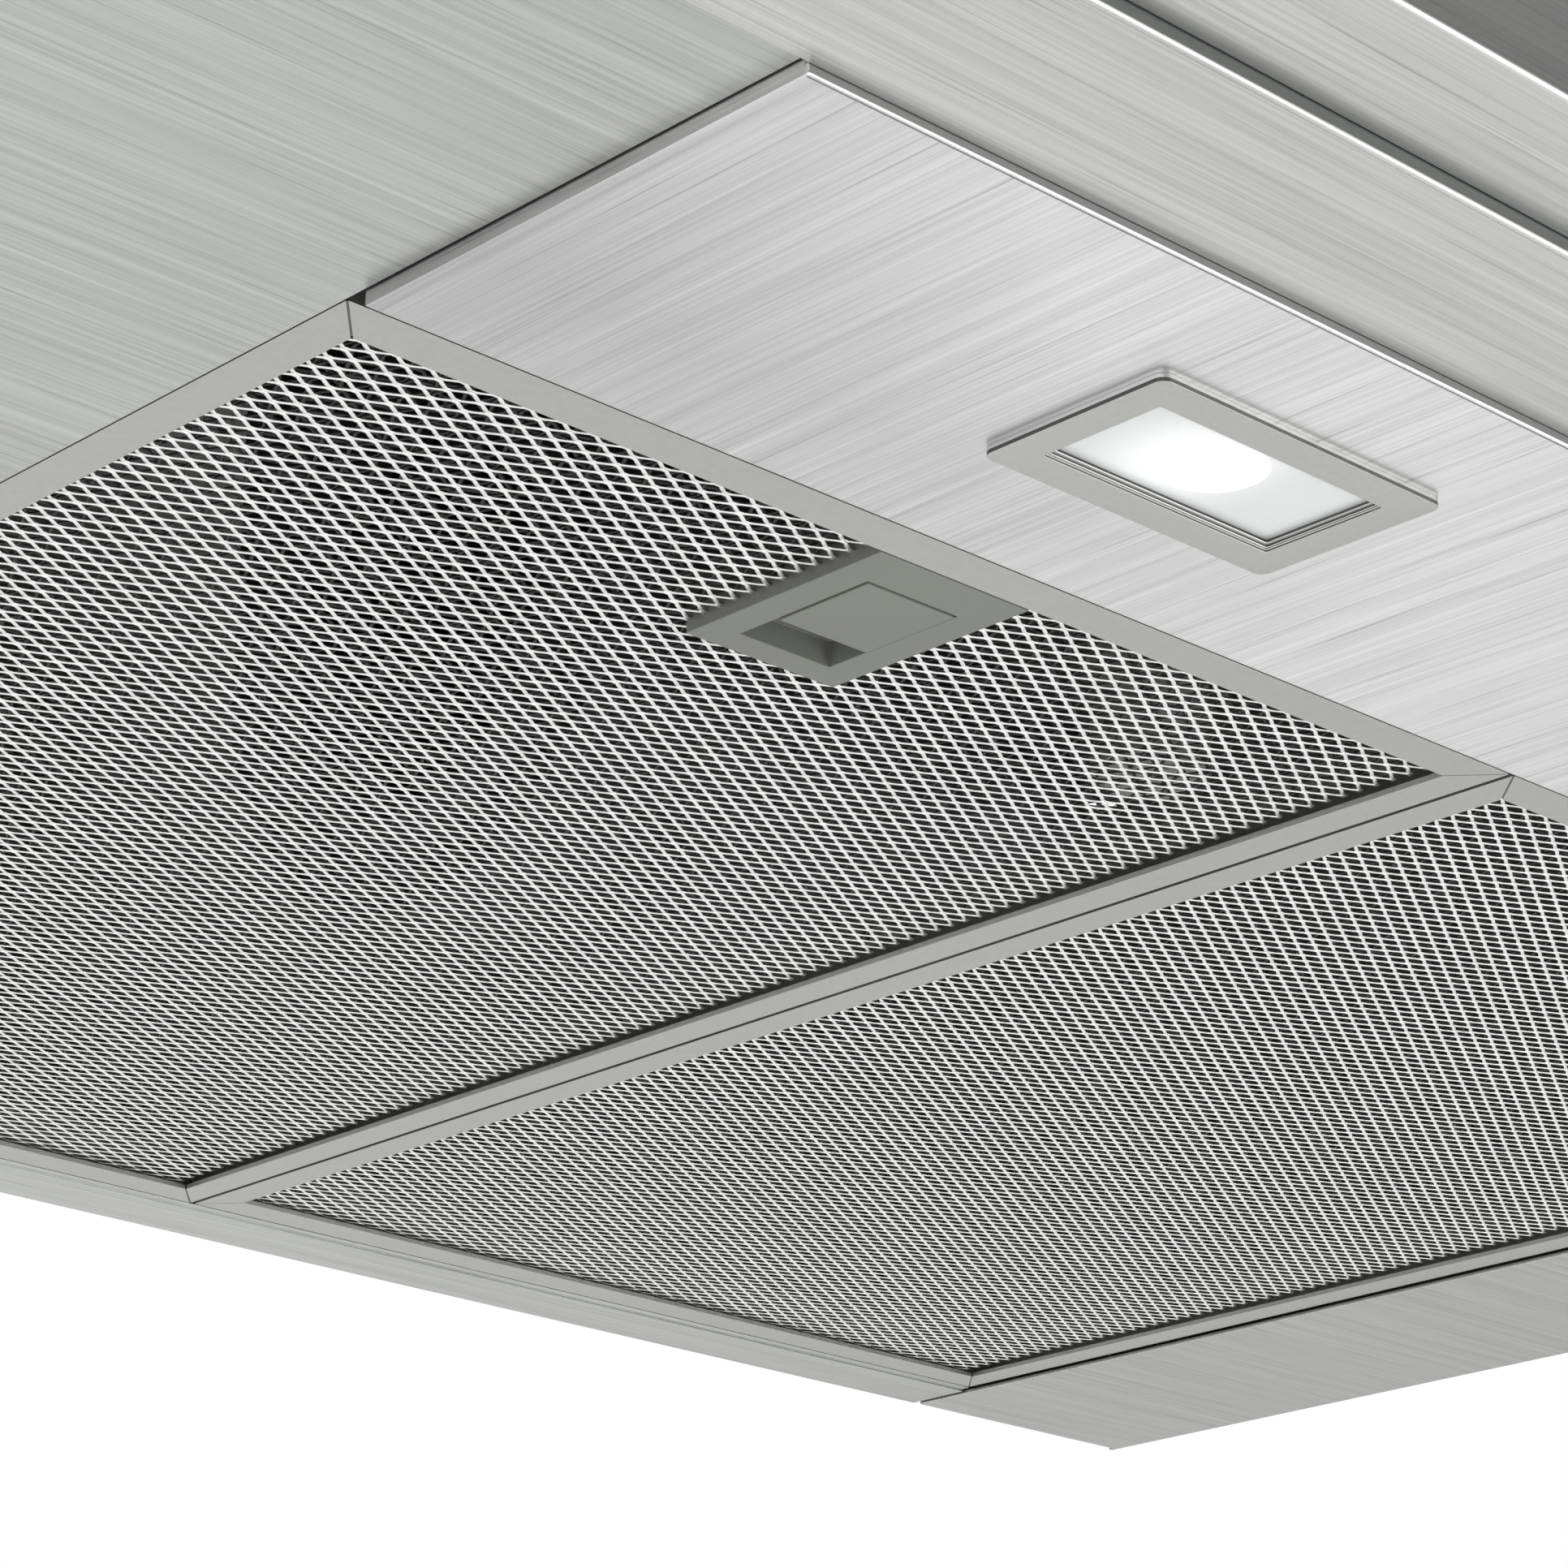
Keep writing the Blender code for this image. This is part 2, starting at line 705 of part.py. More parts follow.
def grease_filter(side, sign):
    x = sign * FILTER_X
    line = hinge_line(f"filter_{side}_hinge", (x, LEDGE_Y, FILTER_Z))
    middle_y = (FILTER_Y + FILTER_REAR) / 2
    half_width = FILTER_WIDTH / 2
    channel = filter_latch(side, x, line)

    ends, sides = (END_LIP, SIDE_LIP), (SIDE_LIP, END_LIP)
    front = mitred_rail(f"filter_{side}_rail_front", FILTER_WIDTH, (x, FILTER_Y), 0, *ends)
    cut(front, block(f"rail_slot_{side}", *channel))
    rear = mitred_rail(f"filter_{side}_rail_rear", FILTER_WIDTH, (x, FILTER_REAR), 180, *ends)
    for end in (-1, 1):
        tab_x = x + end * (half_width - TAB_INSET)
        tab = block(
            f"tab_{side}_{end}",
            (tab_x - TAB_WIDTH / 2, FILTER_REAR - FRAME_WALL / 2, FILTER_Z + SHEET + GAP),
            (tab_x + TAB_WIDTH / 2, FILTER_REAR + TAB_REACH, FILTER_Z + 2 * SHEET + GAP),
        )
        join(rear, tab)
    west_name, east_name = f"filter_{side}_rail_west", f"filter_{side}_rail_east"
    west = mitred_rail(west_name, FILTER_LENGTH, (x - half_width, middle_y), -90, *sides)
    east = mitred_rail(east_name, FILTER_LENGTH, (x + half_width, middle_y), 90, *sides)

    inset = FRAME_WALL + GAP
    latch_rear = FILTER_Y + END_LIP + GAP + LATCH_DEPTH
    layers = []
    mesh_low = FILTER_Z + MESH_RISE
    for name, low, high in (
        ("mesh", mesh_low, mesh_low + MESH_SHEET),
        ("core", mesh_low + MESH_SHEET + GAP, mesh_low + MESH_SHEET + GAP + CORE),
    ):
        layer = block(
            f"filter_{side}_{name}",
            (x - half_width + inset, FILTER_Y + inset, low),
            (x + half_width - inset, FILTER_REAR - inset, high),
            "mesh",
        )
        notch = block(
            f"{name}_notch_{side}",
            (x - LATCH_WIDTH / 2 - GAP, FILTER_Y, low - SHEET),
            (x + LATCH_WIDTH / 2 + GAP, latch_rear + GAP, high + SHEET),
        )
        cut(layer, notch)
        layers.append(layer)
    for piece in (front, rear, west, east, *layers):
        hang(piece, line)


# Lamps


def lamp(side, sign):
    x, y = sign * LAMP_X, LAMP_CENTRE_Y
    face = -HEIGHT - BEZEL_PROUD
    bezel_top = -HEIGHT - GAP
    bezel = plate(
        f"lamp_{side}_bezel",
        rounded(BEZEL_WIDTH, BEZEL_DEPTH, BEZEL_CORNER, (x, y)),
        face,
        bezel_top,
        "bezel",
    )
    lens_low = face + LENS_RECESS
    box_x, box_y = LAMP_BOX_X / 2, LAMP_BOX_Y / 2
    join(
        bezel,
        block(
            f"bezel_collar_{side}",
            (x - box_x, y - box_y, bezel_top - BEZEL_PROUD / 2),
            (x + box_x, y + box_y, lens_low - GAP),
        ),
    )
    corner = BEZEL_CORNER / 3
    opening = rounded(BEZEL_WINDOW_X, BEZEL_WINDOW_Y, corner, (x, y), steps=3)
    throat_x, throat_y = BEZEL_WINDOW_X - 2 * BEZEL_STEP, BEZEL_WINDOW_Y - 2 * BEZEL_STEP
    throat = rounded(throat_x, throat_y, corner, (x, y), steps=3)
    cut(
        bezel,
        plate(f"bezel_window_{side}", opening, face - SHEET, face + BEZEL_STEP_DEPTH),
        plate(f"bezel_throat_{side}", throat, face - SHEET, lens_low + SHEET),
    )

    block(
        f"lamp_{side}_lens",
        (x - LENS_X / 2, y - LENS_Y / 2, lens_low),
        (x + LENS_X / 2, y + LENS_Y / 2, lens_low + LENS),
        "lens",
    )
    box_top = lens_low + LAMP_BOX_HEIGHT
    housing = block(
        f"lamp_{side}_housing", (x - box_x, y - box_y, lens_low), (x + box_x, y + box_y, box_top), "zinc"
    )
    hollow_x, hollow_y = box_x - LAMP_BOX_WALL, box_y - LAMP_BOX_WALL
    cut(
        housing,
        block(
            f"lamp_hollow_{side}",
            (x - hollow_x, y - hollow_y, lens_low - SHEET),
            (x + hollow_x, y + hollow_y, box_top - LAMP_BOX_WALL),
        ),
    )
    source_top = box_top - LAMP_BOX_WALL - GAP
    half = SOURCE_HEIGHT / 2
    turned(
        f"lamp_{side}_source",
        [
            (0.0, half),
            (SOURCE_RADIUS, half),
            (SOURCE_RADIUS, -half / 3),
            (SOURCE_RADIUS * 0.75, -half * 0.8),
            (0.0, -half),
        ],
        (x, y, source_top - half),
        look="lens",
        steps=20,
    )


# Duct outlet


def duct_outlet():
    flange_top = -SHEET - GAP
    flange_low = flange_top - COLLAR_FLANGE_THICKNESS
    inner = COLLAR_RADIUS - COLLAR_WALL
    ledge = inner - FLAP_LEDGE
    ledge_z = FLAP_LEVEL - FLAP_THICKNESS / 2 - GAP
    collar = turned(
        "duct_collar",
        [
            (inner, COLLAR_RISE),
            (COLLAR_RADIUS, COLLAR_RISE),
            (COLLAR_RADIUS, flange_top),
            (COLLAR_FLANGE, flange_top),
            (COLLAR_FLANGE, flange_low),
            (inner, flange_low),
            (ledge, ledge_z - 2 * FLAP_LEDGE),
            (ledge, ledge_z),
            (inner, ledge_z),
        ],
        (0.0, DUCT_Y, 0.0),
        look="black",
        steps=48,
        closed=True,
    )
    socket = PIN_RADIUS + SLEEVE_CLEARANCE
    sleeve_radius = socket + SLEEVE_WALL
    cut(
        collar,
        cylinder("pin_socket", socket, 2 * COLLAR_RADIUS + SHEET, (0, DUCT_Y, FLAP_LEVEL), "X", segments=16),
        # The ledge stops short of the hinge sleeves.
        block(
            "ledge_relief",
            (-inner + SHEET / 2, DUCT_Y - 2 * sleeve_radius, FLAP_LEVEL - 2 * sleeve_radius),
            (inner - SHEET / 2, DUCT_Y + 2 * sleeve_radius, FLAP_LEVEL),
        ),
    )
    pin_length = 2 * (COLLAR_RADIUS - GAP)
    cylinder(
        "damper_pin", PIN_RADIUS, pin_length, (0, DUCT_Y, FLAP_LEVEL), "X", "spring", segments=16
    )

    reach = inner - FLAP_CLEARANCE
    start = sleeve_radius - SLEEVE_WALL / 2
    half_angle = math.asin(start / reach)
    steps = 20
    # The two flaps' sleeves take turns along the pin.
    rear_places, front_places = (-SLEEVE_FAR, SLEEVE_NEAR), (-SLEEVE_NEAR, SLEEVE_FAR)
    for name, heading, places, other_places in (
        ("rear", 1, rear_places, front_places),
        ("front", -1, front_places, rear_places),
    ):
        arc = []
        for step in range(steps + 1):
            angle = half_angle + (math.pi - 2 * half_angle) * step / steps
            arc.append((reach * math.cos(angle), heading * reach * math.sin(angle)))
        low = FLAP_LEVEL - FLAP_THICKNESS / 2
        flap = plate(f"damper_flap_{name}", arc, low, low + FLAP_THICKNESS, "black")
        flap.location.y = DUCT_Y
        for x in places:
            sleeve = cylinder(
                f"sleeve_{name}_{x:.3f}",
                sleeve_radius,
                SLEEVE_LENGTH,
                (x, DUCT_Y, FLAP_LEVEL),
                "X",
                segments=16,
            )
            join(flap, sleeve)
        for x in other_places:
            room = SLEEVE_LENGTH / 2 + FLAP_CLEARANCE
            relief = block(
                f"relief_{name}_{x:.3f}",
                (x - room, DUCT_Y - 2 * sleeve_radius, FLAP_LEVEL - sleeve_radius),
                (x + room, DUCT_Y + 2 * sleeve_radius, FLAP_LEVEL + sleeve_radius),
            )
            cut(flap, relief)
        cut(
            flap,
            cylinder(
                f"sleeve_bore_{name}", socket, 2 * COLLAR_RADIUS, (0, DUCT_Y, FLAP_LEVEL), "X", segments=16
            ),
        )


# Blower


def scroll_outline(inset, mouth_z):
    """The scroll seen along X: a spiral round the impeller, then straight up to the mouth."""
    steps = 20
    points = [(SCROLL_LARGE - inset, mouth_z - SCROLL_Z)]
    for step in range(steps + 1):
        part = step / steps
        angle = -math.radians(SCROLL_SWEEP) * part
        radius = SCROLL_LARGE + (SCROLL_SMALL - SCROLL_LARGE) * part - inset
        points.append((radius * math.cos(angle), radius * math.sin(angle)))
    points.append((-(SCROLL_MOUTH - inset), mouth_z - SCROLL_Z))
    return [(DUCT_Y + y, SCROLL_Z + z) for y, z in points]


def blower():
    mouth = -SHEET - GAP - COLLAR_FLANGE_THICKNESS - 2 * GAP
    half = SCROLL_WIDTH / 2
    for side, sign in SIDES:
        low_x, high_x = sorted((sign * GAP / 2, sign * half))
        scroll = plate(f"scroll_{side}", scroll_outline(0.0, mouth), low_x, high_x, "black", axis="X")
        low_x, high_x = sorted((-sign * half, sign * (half - SCROLL_WALL)))
        hollow = plate(
            f"scroll_hollow_{side}", scroll_outline(SCROLL_WALL, mouth + SHEET), low_x, high_x, axis="X"
        )
        inlet = cylinder(
            f"scroll_inlet_{side}",
            INLET_RADIUS,
            4 * SCROLL_WALL,
            (sign * half, DUCT_Y, SCROLL_Z),
            "X",
            segments=40,
        )
        cut(scroll, hollow, inlet)

    axis = (0.0, DUCT_Y, SCROLL_Z)
    mouth_radius = INLET_RADIUS - INLET_LIP
    turned(
        "inlet_ring",
        [
            (mouth_radius, 0.0),
            (INLET_RADIUS + INLET_FLANGE, 0.0),
            (INLET_RADIUS + INLET_FLANGE, -INLET_THICKNESS),
            (INLET_RADIUS + INLET_THICKNESS, -INLET_THICKNESS - INLET_GUARD),
            (mouth_radius, -INLET_THICKNESS - INLET_GUARD),
        ],
        (-half - GAP, DUCT_Y, SCROLL_Z),
        "X",
        "black",
        steps=40,
        closed=True,
    )

    wheel = cylinder("impeller", IMPELLER_RADIUS, 2 * BLADE_THICKNESS, axis, "X", "impeller", segments=40)
    join(wheel, cylinder("impeller_hub", HUB_RADIUS, HUB_WIDTH, axis, "X", segments=24))
    blades = bmesh.new()
    for index in range(BLADES):
        turn = 2 * math.pi * index / BLADES
        place = (
            Matrix.Rotation(turn, 4, "X")
            @ Matrix.Translation((0.0, IMPELLER_RADIUS - WHEEL_RING, 0.0))
            @ Matrix.Rotation(math.radians(BLADE_PITCH), 4, "X")
            @ Matrix.Diagonal((IMPELLER_WIDTH - BLADE_THICKNESS, BLADE_DEPTH, BLADE_THICKNESS, 1.0))
        )
        bmesh.ops.create_cube(blades, size=1.0, matrix=place)
    join(wheel, new_part("impeller_blades", mesh_of(blades), "impeller", axis))
    ring = 2 * BLADE_THICKNESS
    for side, sign in SIDES:
        centre = (sign * (IMPELLER_WIDTH - ring) / 2, DUCT_Y, SCROLL_Z)
        outer = turned(
            f"impeller_ring_{side}",
            [
                (IMPELLER_RADIUS, ring / 2),
                (IMPELLER_RADIUS, -ring / 2),
                (IMPELLER_RADIUS - WHEEL_RING, -ring / 2),
                (IMPELLER_RADIUS - WHEEL_RING, ring / 2),
            ],
            centre,
            "X",
            steps=40,
            closed=True,
        )
        join(wheel, outer)
    cut(wheel, cylinder("hub_bore", SHAFT_RADIUS + GAP, 2 * HUB_WIDTH, axis, "X", segments=24))

    motor_x = IMPELLER_WIDTH / 2 + MOTOR_CLEARANCE
    end = motor_x + MOTOR_LENGTH
    shaft_low, shaft_high = -HUB_WIDTH / 2 - SHAFT_PAST_HUB, motor_x + BORE_DEPTH - 2 * GAP
    shaft_middle = (shaft_low + shaft_high) / 2
    cylinder(
        "motor_shaft",
        SHAFT_RADIUS,
        shaft_high - shaft_low,
        (shaft_middle, DUCT_Y, SCROLL_Z),
        "X",
        "spring",
        segments=24,
    )
    turned(
        "motor",
        [
            (0.0, end),
            (MOTOR_RADIUS - 2 * MOTOR_SHOULDER, end),
            (MOTOR_RADIUS, end - MOTOR_SHOULDER),
            (MOTOR_RADIUS, motor_x + MOTOR_SHOULDER),
            (MOTOR_RADIUS - MOTOR_SHOULDER, motor_x),
            (SHAFT_RADIUS + GAP, motor_x),
            (SHAFT_RADIUS + GAP, motor_x + BORE_DEPTH),
            (0.0, motor_x + BORE_DEPTH),
        ],
        (0.0, DUCT_Y, SCROLL_Z),
        "X",
        "motor",
    )
    bracket_x = half + GAP
    bracket_middle = (bracket_x + BRACKET_THICKNESS / 2, DUCT_Y, SCROLL_Z)
    ring_outer = MOTOR_RADIUS + GAP + BRACKET_RING
    bracket = cylinder("motor_bracket", ring_outer, BRACKET_THICKNESS, bracket_middle, "X", "zinc")
    size = (BRACKET_THICKNESS, BRACKET_REACH, BRACKET_ARM)
    for index in range(BRACKET_ARMS):
        arm_shape = bmesh.new()
        turn = Matrix.Rotation(2 * math.pi * index / BRACKET_ARMS, 4, "X")
        place = turn @ Matrix.Translation((0, BRACKET_REACH / 2, 0))
        bmesh.ops.create_cube(arm_shape, size=1.0, matrix=place @ Matrix.Diagonal((*size, 1.0)))
        join(bracket, new_part(f"bracket_arm_{index}", mesh_of(arm_shape), "zinc", bracket_middle))
    cut(
        bracket,
        cylinder("bracket_bore", MOTOR_RADIUS + GAP, 4 * BRACKET_THICKNESS, bracket_middle, "X", segments=40),
    )

    top = -SHEET - GAP
    turned(
        "capacitor",
        [
            (0.0, top),
            (CAPACITOR_RADIUS, top),
            (CAPACITOR_RADIUS, top - CAPACITOR_LENGTH + CAPACITOR_BEVEL),
            (CAPACITOR_RADIUS - CAPACITOR_BEVEL, top - CAPACITOR_LENGTH),
            (0.0, top - CAPACITOR_LENGTH),
        ],
        (CAPACITOR_X, DUCT_Y, 0.0),
        look="white",
        steps=28,
    )


# Supply


def supply():
    top = -SHEET - GAP
    nut_low = top - GLAND_NUT_THICKNESS
    turned(
        "cable_gland",
        [
            (GLAND_BORE, GLAND_RISE),
            (GLAND_RADIUS - GLAND_TAPER, GLAND_RISE),
            (GLAND_RADIUS, GLAND_RISE - GLAND_CONE),
            (GLAND_RADIUS, top),
            (GLAND_NUT, top),
            (GLAND_NUT, nut_low),
            (GLAND_BORE, nut_low),
        ],
        (GLAND_X, 0.0, 0.0),
        look="black",
        steps=24,
        closed=True,
    )
    box_top = nut_low - GAP
    block(
        "terminal_box",
        (GLAND_X - BOX_WIDTH / 2, -BOX_DEPTH / 2, box_top - BOX_HEIGHT),
        (GLAND_X + BOX_WIDTH / 2, BOX_DEPTH / 2, box_top),
        "white",
    )


# Controls


def controls():
    rear = FRONT_Y + CONTROL_DEPTH
    panel = plate(
        "control_plate",
        rounded(CONTROL_WIDTH, CONTROL_HEIGHT, CONTROL_CORNER, (CONTROL_X, CONTROL_Z), steps=2),
        FRONT_Y,
        rear,
        "black",
        axis="Y",
    )
    first = CONTROL_X - BUTTON_PITCH * (len(BUTTON_NAMES) - 1) / 2
    room_x, room_z = BUTTON_WIDTH / 2 + BUTTON_CLEARANCE, BUTTON_HEIGHT / 2 + BUTTON_CLEARANCE
    for index, name in enumerate(BUTTON_NAMES):
        x = first + index * BUTTON_PITCH
        hole = block(
            f"button_hole_{name}",
            (x - room_x, FRONT_Y - SHEET, CONTROL_Z - room_z),
            (x + room_x, rear + SHEET, CONTROL_Z + room_z),
        )
        cut(panel, hole)
        button = plate(
            f"button_{name}",
            rounded(BUTTON_WIDTH, BUTTON_HEIGHT, CONTROL_CORNER, (x, CONTROL_Z), steps=2),
            FRONT_Y - BUTTON_PROUD,
            FRONT_Y - BUTTON_PROUD + BUTTON_DEPTH,
            "latch",
            axis="Y",
        )
        centre = Vector((x, 0.0, CONTROL_Z))
        button.data.transform(Matrix.Translation(-centre))
        button.location += centre

    back = FRONT_Y - BUTTON_PROUD + BUTTON_DEPTH + BUTTON_TRAVEL + GAP
    block(
        "switch_block",
        (CONTROL_X - CONTROL_WIDTH / 2, back, CONTROL_Z - CONTROL_HEIGHT / 2),
        (CONTROL_X + CONTROL_WIDTH / 2, back + SWITCH_DEPTH, CONTROL_Z + CONTROL_HEIGHT / 2),
        "white",
    )


casing()
lamp_panel()
for side_name, side_sign in SIDES:
    grease_filter(side_name, side_sign)
    lamp(side_name, side_sign)
duct_outlet()
blower()
supply()
controls()
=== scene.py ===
import json
import math

import bmesh
import bpy
import numpy as np
from mathutils import Matrix, Vector

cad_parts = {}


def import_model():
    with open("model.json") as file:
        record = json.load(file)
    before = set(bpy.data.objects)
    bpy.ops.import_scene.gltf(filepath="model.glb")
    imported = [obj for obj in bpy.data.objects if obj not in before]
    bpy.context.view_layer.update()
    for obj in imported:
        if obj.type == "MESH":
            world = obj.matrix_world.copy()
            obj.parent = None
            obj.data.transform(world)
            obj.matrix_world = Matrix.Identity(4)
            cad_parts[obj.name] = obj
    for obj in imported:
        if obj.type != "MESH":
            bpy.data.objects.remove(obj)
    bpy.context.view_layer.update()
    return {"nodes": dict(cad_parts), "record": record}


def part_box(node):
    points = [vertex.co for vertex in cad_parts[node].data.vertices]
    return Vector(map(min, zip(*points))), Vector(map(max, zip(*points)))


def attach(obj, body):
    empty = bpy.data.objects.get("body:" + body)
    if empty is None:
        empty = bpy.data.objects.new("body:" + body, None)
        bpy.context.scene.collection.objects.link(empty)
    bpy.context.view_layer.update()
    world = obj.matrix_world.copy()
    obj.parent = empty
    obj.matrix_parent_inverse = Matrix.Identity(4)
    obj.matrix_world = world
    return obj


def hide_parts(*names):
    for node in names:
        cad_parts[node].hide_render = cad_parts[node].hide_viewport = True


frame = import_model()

NODES = frame["nodes"]
RECORD = frame["record"]
BODY_OF = {node: body for body, nodes in RECORD["behaviour"]["bodies"].items() for node in nodes}
SLOT_OF = {part["node"]: part["material_slot"] for part in RECORD["subparts"]}
SIDES = (("left", -1), ("right", 1))
RAILS = ("front", "rear", "west", "east")
MM = 0.001


# Materials


def add(tree, kind, inputs=None, **settings):
    """A shader node whose inputs take a value or another node's output."""
    node = tree.nodes.new(kind)
    for key, value in settings.items():
        setattr(node, key, value)
    for key, value in (inputs or {}).items():
        if isinstance(value, bpy.types.NodeSocket):
            tree.links.new(value, node.inputs[key])
        else:
            node.inputs[key].default_value = value
    return node


def new_material(name, roughness, metallic):
    material = bpy.data.materials.new(name)
    material.use_nodes = True
    tree = material.node_tree
    shader = tree.nodes["Principled BSDF"]
    shader.inputs["Roughness"].default_value = roughness
    shader.inputs["Metallic"].default_value = metallic
    coords = add(tree, "ShaderNodeTexCoord").outputs["Object"]
    return material, tree, shader, coords


def noise(tree, coords, scale, detail=2.0, roughness=0.5, shift=(0.0, 0.0, 0.0)):
    """Noise with its own scale along each axis, in repeats per metre."""
    mapped = add(tree, "ShaderNodeMapping", {"Vector": coords, "Location": shift, "Scale": scale})
    made = add(
        tree,
        "ShaderNodeTexNoise",
        {
            "Vector": mapped.outputs[0],
            "Scale": 1.0,
            "Detail": detail,
            "Roughness": roughness,
        },
    )
    return made.outputs[0]


def remap(tree, value, low, high, to_low, to_high):
    made = add(
        tree,
        "ShaderNodeMapRange",
        {"Value": value, "From Min": low, "From Max": high, "To Min": to_low, "To Max": to_high},
    )
    return made.outputs[0]


def math_node(tree, operation, first, second):
    made = add(tree, "ShaderNodeMath", {0: first, 1: second}, operation=operation)
    return made.outputs[0]


def mix_colors(tree, factor, first, second, blend="MIX"):
    made = add(tree, "ShaderNodeMix", data_type="RGBA", blend_type=blend, clamp_result=False)
    for socket, value in ((0, factor), (6, first), (7, second)):
        if isinstance(value, bpy.types.NodeSocket):
            tree.links.new(value, made.inputs[socket])
        else:
            made.inputs[socket].default_value = value
    return made.outputs[2]


def rgb(red, green, blue):
    return (red, green, blue, 1.0)


def bump(tree, shader, height, strength, distance):
    made = add(tree, "ShaderNodeBump", {"Height": height, "Strength": strength, "Distance": distance})
    tree.links.new(made.outputs[0], shader.inputs["Normal"])


def lamp_panel_painted_shade(tree, coords):
    """Painted shade: darker toward the lamp panel's ends and its rear edge."""
    parts = add(tree, "ShaderNodeSeparateXYZ", {"Vector": coords}).outputs
    out = add(tree, "ShaderNodeMath", {0: parts[0]}, operation="ABSOLUTE").outputs[0]
    ends = remap(tree, out, 0.075, 0.225, 1.03, 0.70)
    both = math_node(tree, "MULTIPLY", ends, remap(tree, parts[1], -0.390, -0.335, 1.34, 1.0))
    return math_node(tree, "MINIMUM", both, 1.04)


def brushed(name, color, grain, roughness=0.34, contrast=1.0, seed=0.0, tone=None):
    """Brushed steel. Along one axis run fine lines, wider bands and a few dark hairlines."""
    material, tree, shader, coords = new_material(name, roughness, 1.0)

    def stretched(along, across):
        return tuple(along if axis == grain else across for axis in "XYZ")

    lines = noise(tree, coords, stretched(18, 1900), 3.0, 0.62, (seed, 3.1, 7.7))
    bands = noise(tree, coords, stretched(6, 330), 2.0, 0.55, (seed + 4.0, 1.7, 2.9))
    hairs = noise(tree, coords, stretched(24, 1900), 1.0, 0.5, (seed + 9.0, 5.3, 0.4))
    cloud = noise(tree, coords, (9, 9, 9), 1.0, 0.5, (seed, seed, 1.0))
    fine, wide = 0.105 * contrast, 0.055 * contrast
    total = math_node(tree, "ADD", remap(tree, lines, 0.25, 0.75, -fine, fine), 1.0)
    total = math_node(tree, "ADD", total, remap(tree, bands, 0.25, 0.75, -wide, wide))
    total = math_node(tree, "ADD", total, remap(tree, hairs, 0.64, 0.78, 0.0, -0.20 * contrast))
    total = math_node(tree, "ADD", total, remap(tree, cloud, 0.3, 0.7, -0.02, 0.02))
    # A tone function multiplies the colour; the lamp panel's one is painted shade.
    if tone:
        total = math_node(tree, "MULTIPLY", total, tone(tree, coords))
    tree.links.new(mix_colors(tree, 1.0, rgb(*color), total, "MULTIPLY"), shader.inputs["Base Color"])
    tree.links.new(
        remap(tree, lines, 0.25, 0.75, roughness + 0.05, roughness - 0.05), shader.inputs["Roughness"]
    )
    bump(tree, shader, lines, 0.10, 0.00006)
    return material


def satin_metal(name, color, roughness=0.42, grain=900, depth=0.03):
    """Plain satin metal with a very fine, even surface."""
    material, tree, shader, coords = new_material(name, roughness, 1.0)
    fine = noise(tree, coords, (grain, grain, grain), 2.0, 0.6)
    cloud = noise(tree, coords, (14, 14, 14), 2.0, 0.5, (2.0, 5.0, 1.0))
    tone = math_node(
        tree,
        "ADD",
        remap(tree, fine, 0.3, 0.7, 1 - depth, 1 + depth),
        remap(tree, cloud, 0.3, 0.7, -0.02, 0.02),
    )
    tree.links.new(mix_colors(tree, 1.0, rgb(*color), tone, "MULTIPLY"), shader.inputs["Base Color"])
    tree.links.new(
        remap(tree, cloud, 0.3, 0.7, roughness - 0.03, roughness + 0.03), shader.inputs["Roughness"]
    )
    bump(tree, shader, fine, 0.05, 0.00005)
    return material


def moulded(name, color, roughness=0.5, grain=1600, depth=0.05):
    """Moulded plastic with a fine eroded texture."""
    material, tree, shader, coords = new_material(name, roughness, 0.0)
    fine = noise(tree, coords, (grain, grain, grain), 3.0, 0.6)
    cloud = noise(tree, coords, (30, 30, 30), 2.0, 0.5, (1.0, 2.0, 3.0))
    tone = math_node(
        tree,
        "ADD",
        remap(tree, fine, 0.3, 0.7, 1 - depth, 1 + depth),
        remap(tree, cloud, 0.3, 0.7, -depth, depth),
    )
    tree.links.new(mix_colors(tree, 1.0, rgb(*color), tone, "MULTIPLY"), shader.inputs["Base Color"])
    tree.links.new(
        remap(tree, fine, 0.3, 0.7, roughness - 0.05, roughness + 0.07), shader.inputs["Roughness"]
    )
    bump(tree, shader, fine, 0.12, 0.00008)
    return material


def zinc_coated(name):
    """Zinc with its faint crystal patches."""
    material, tree, shader, coords = new_material(name, 0.42, 1.0)
    cells = add(tree, "ShaderNodeTexVoronoi", {"Vector": coords, "Scale": 180.0}, feature="F1")
    patches = add(tree, "ShaderNodeSeparateColor", {"Color": cells.outputs["Color"]}).outputs[0]
    fine = noise(tree, coords, (700, 700, 700), 2.0, 0.5)
    tone = math_node(
        tree,
        "ADD",
        remap(tree, patches, 0.0, 1.0, 0.88, 1.08),
        remap(tree, fine, 0.3, 0.7, -0.04, 0.04),
    )
    tree.links.new(
        mix_colors(tree, 1.0, rgb(0.50, 0.52, 0.53), tone, "MULTIPLY"), shader.inputs["Base Color"]
    )
    tree.links.new(remap(tree, patches, 0.0, 1.0, 0.36, 0.50), shader.inputs["Roughness"])
    return material


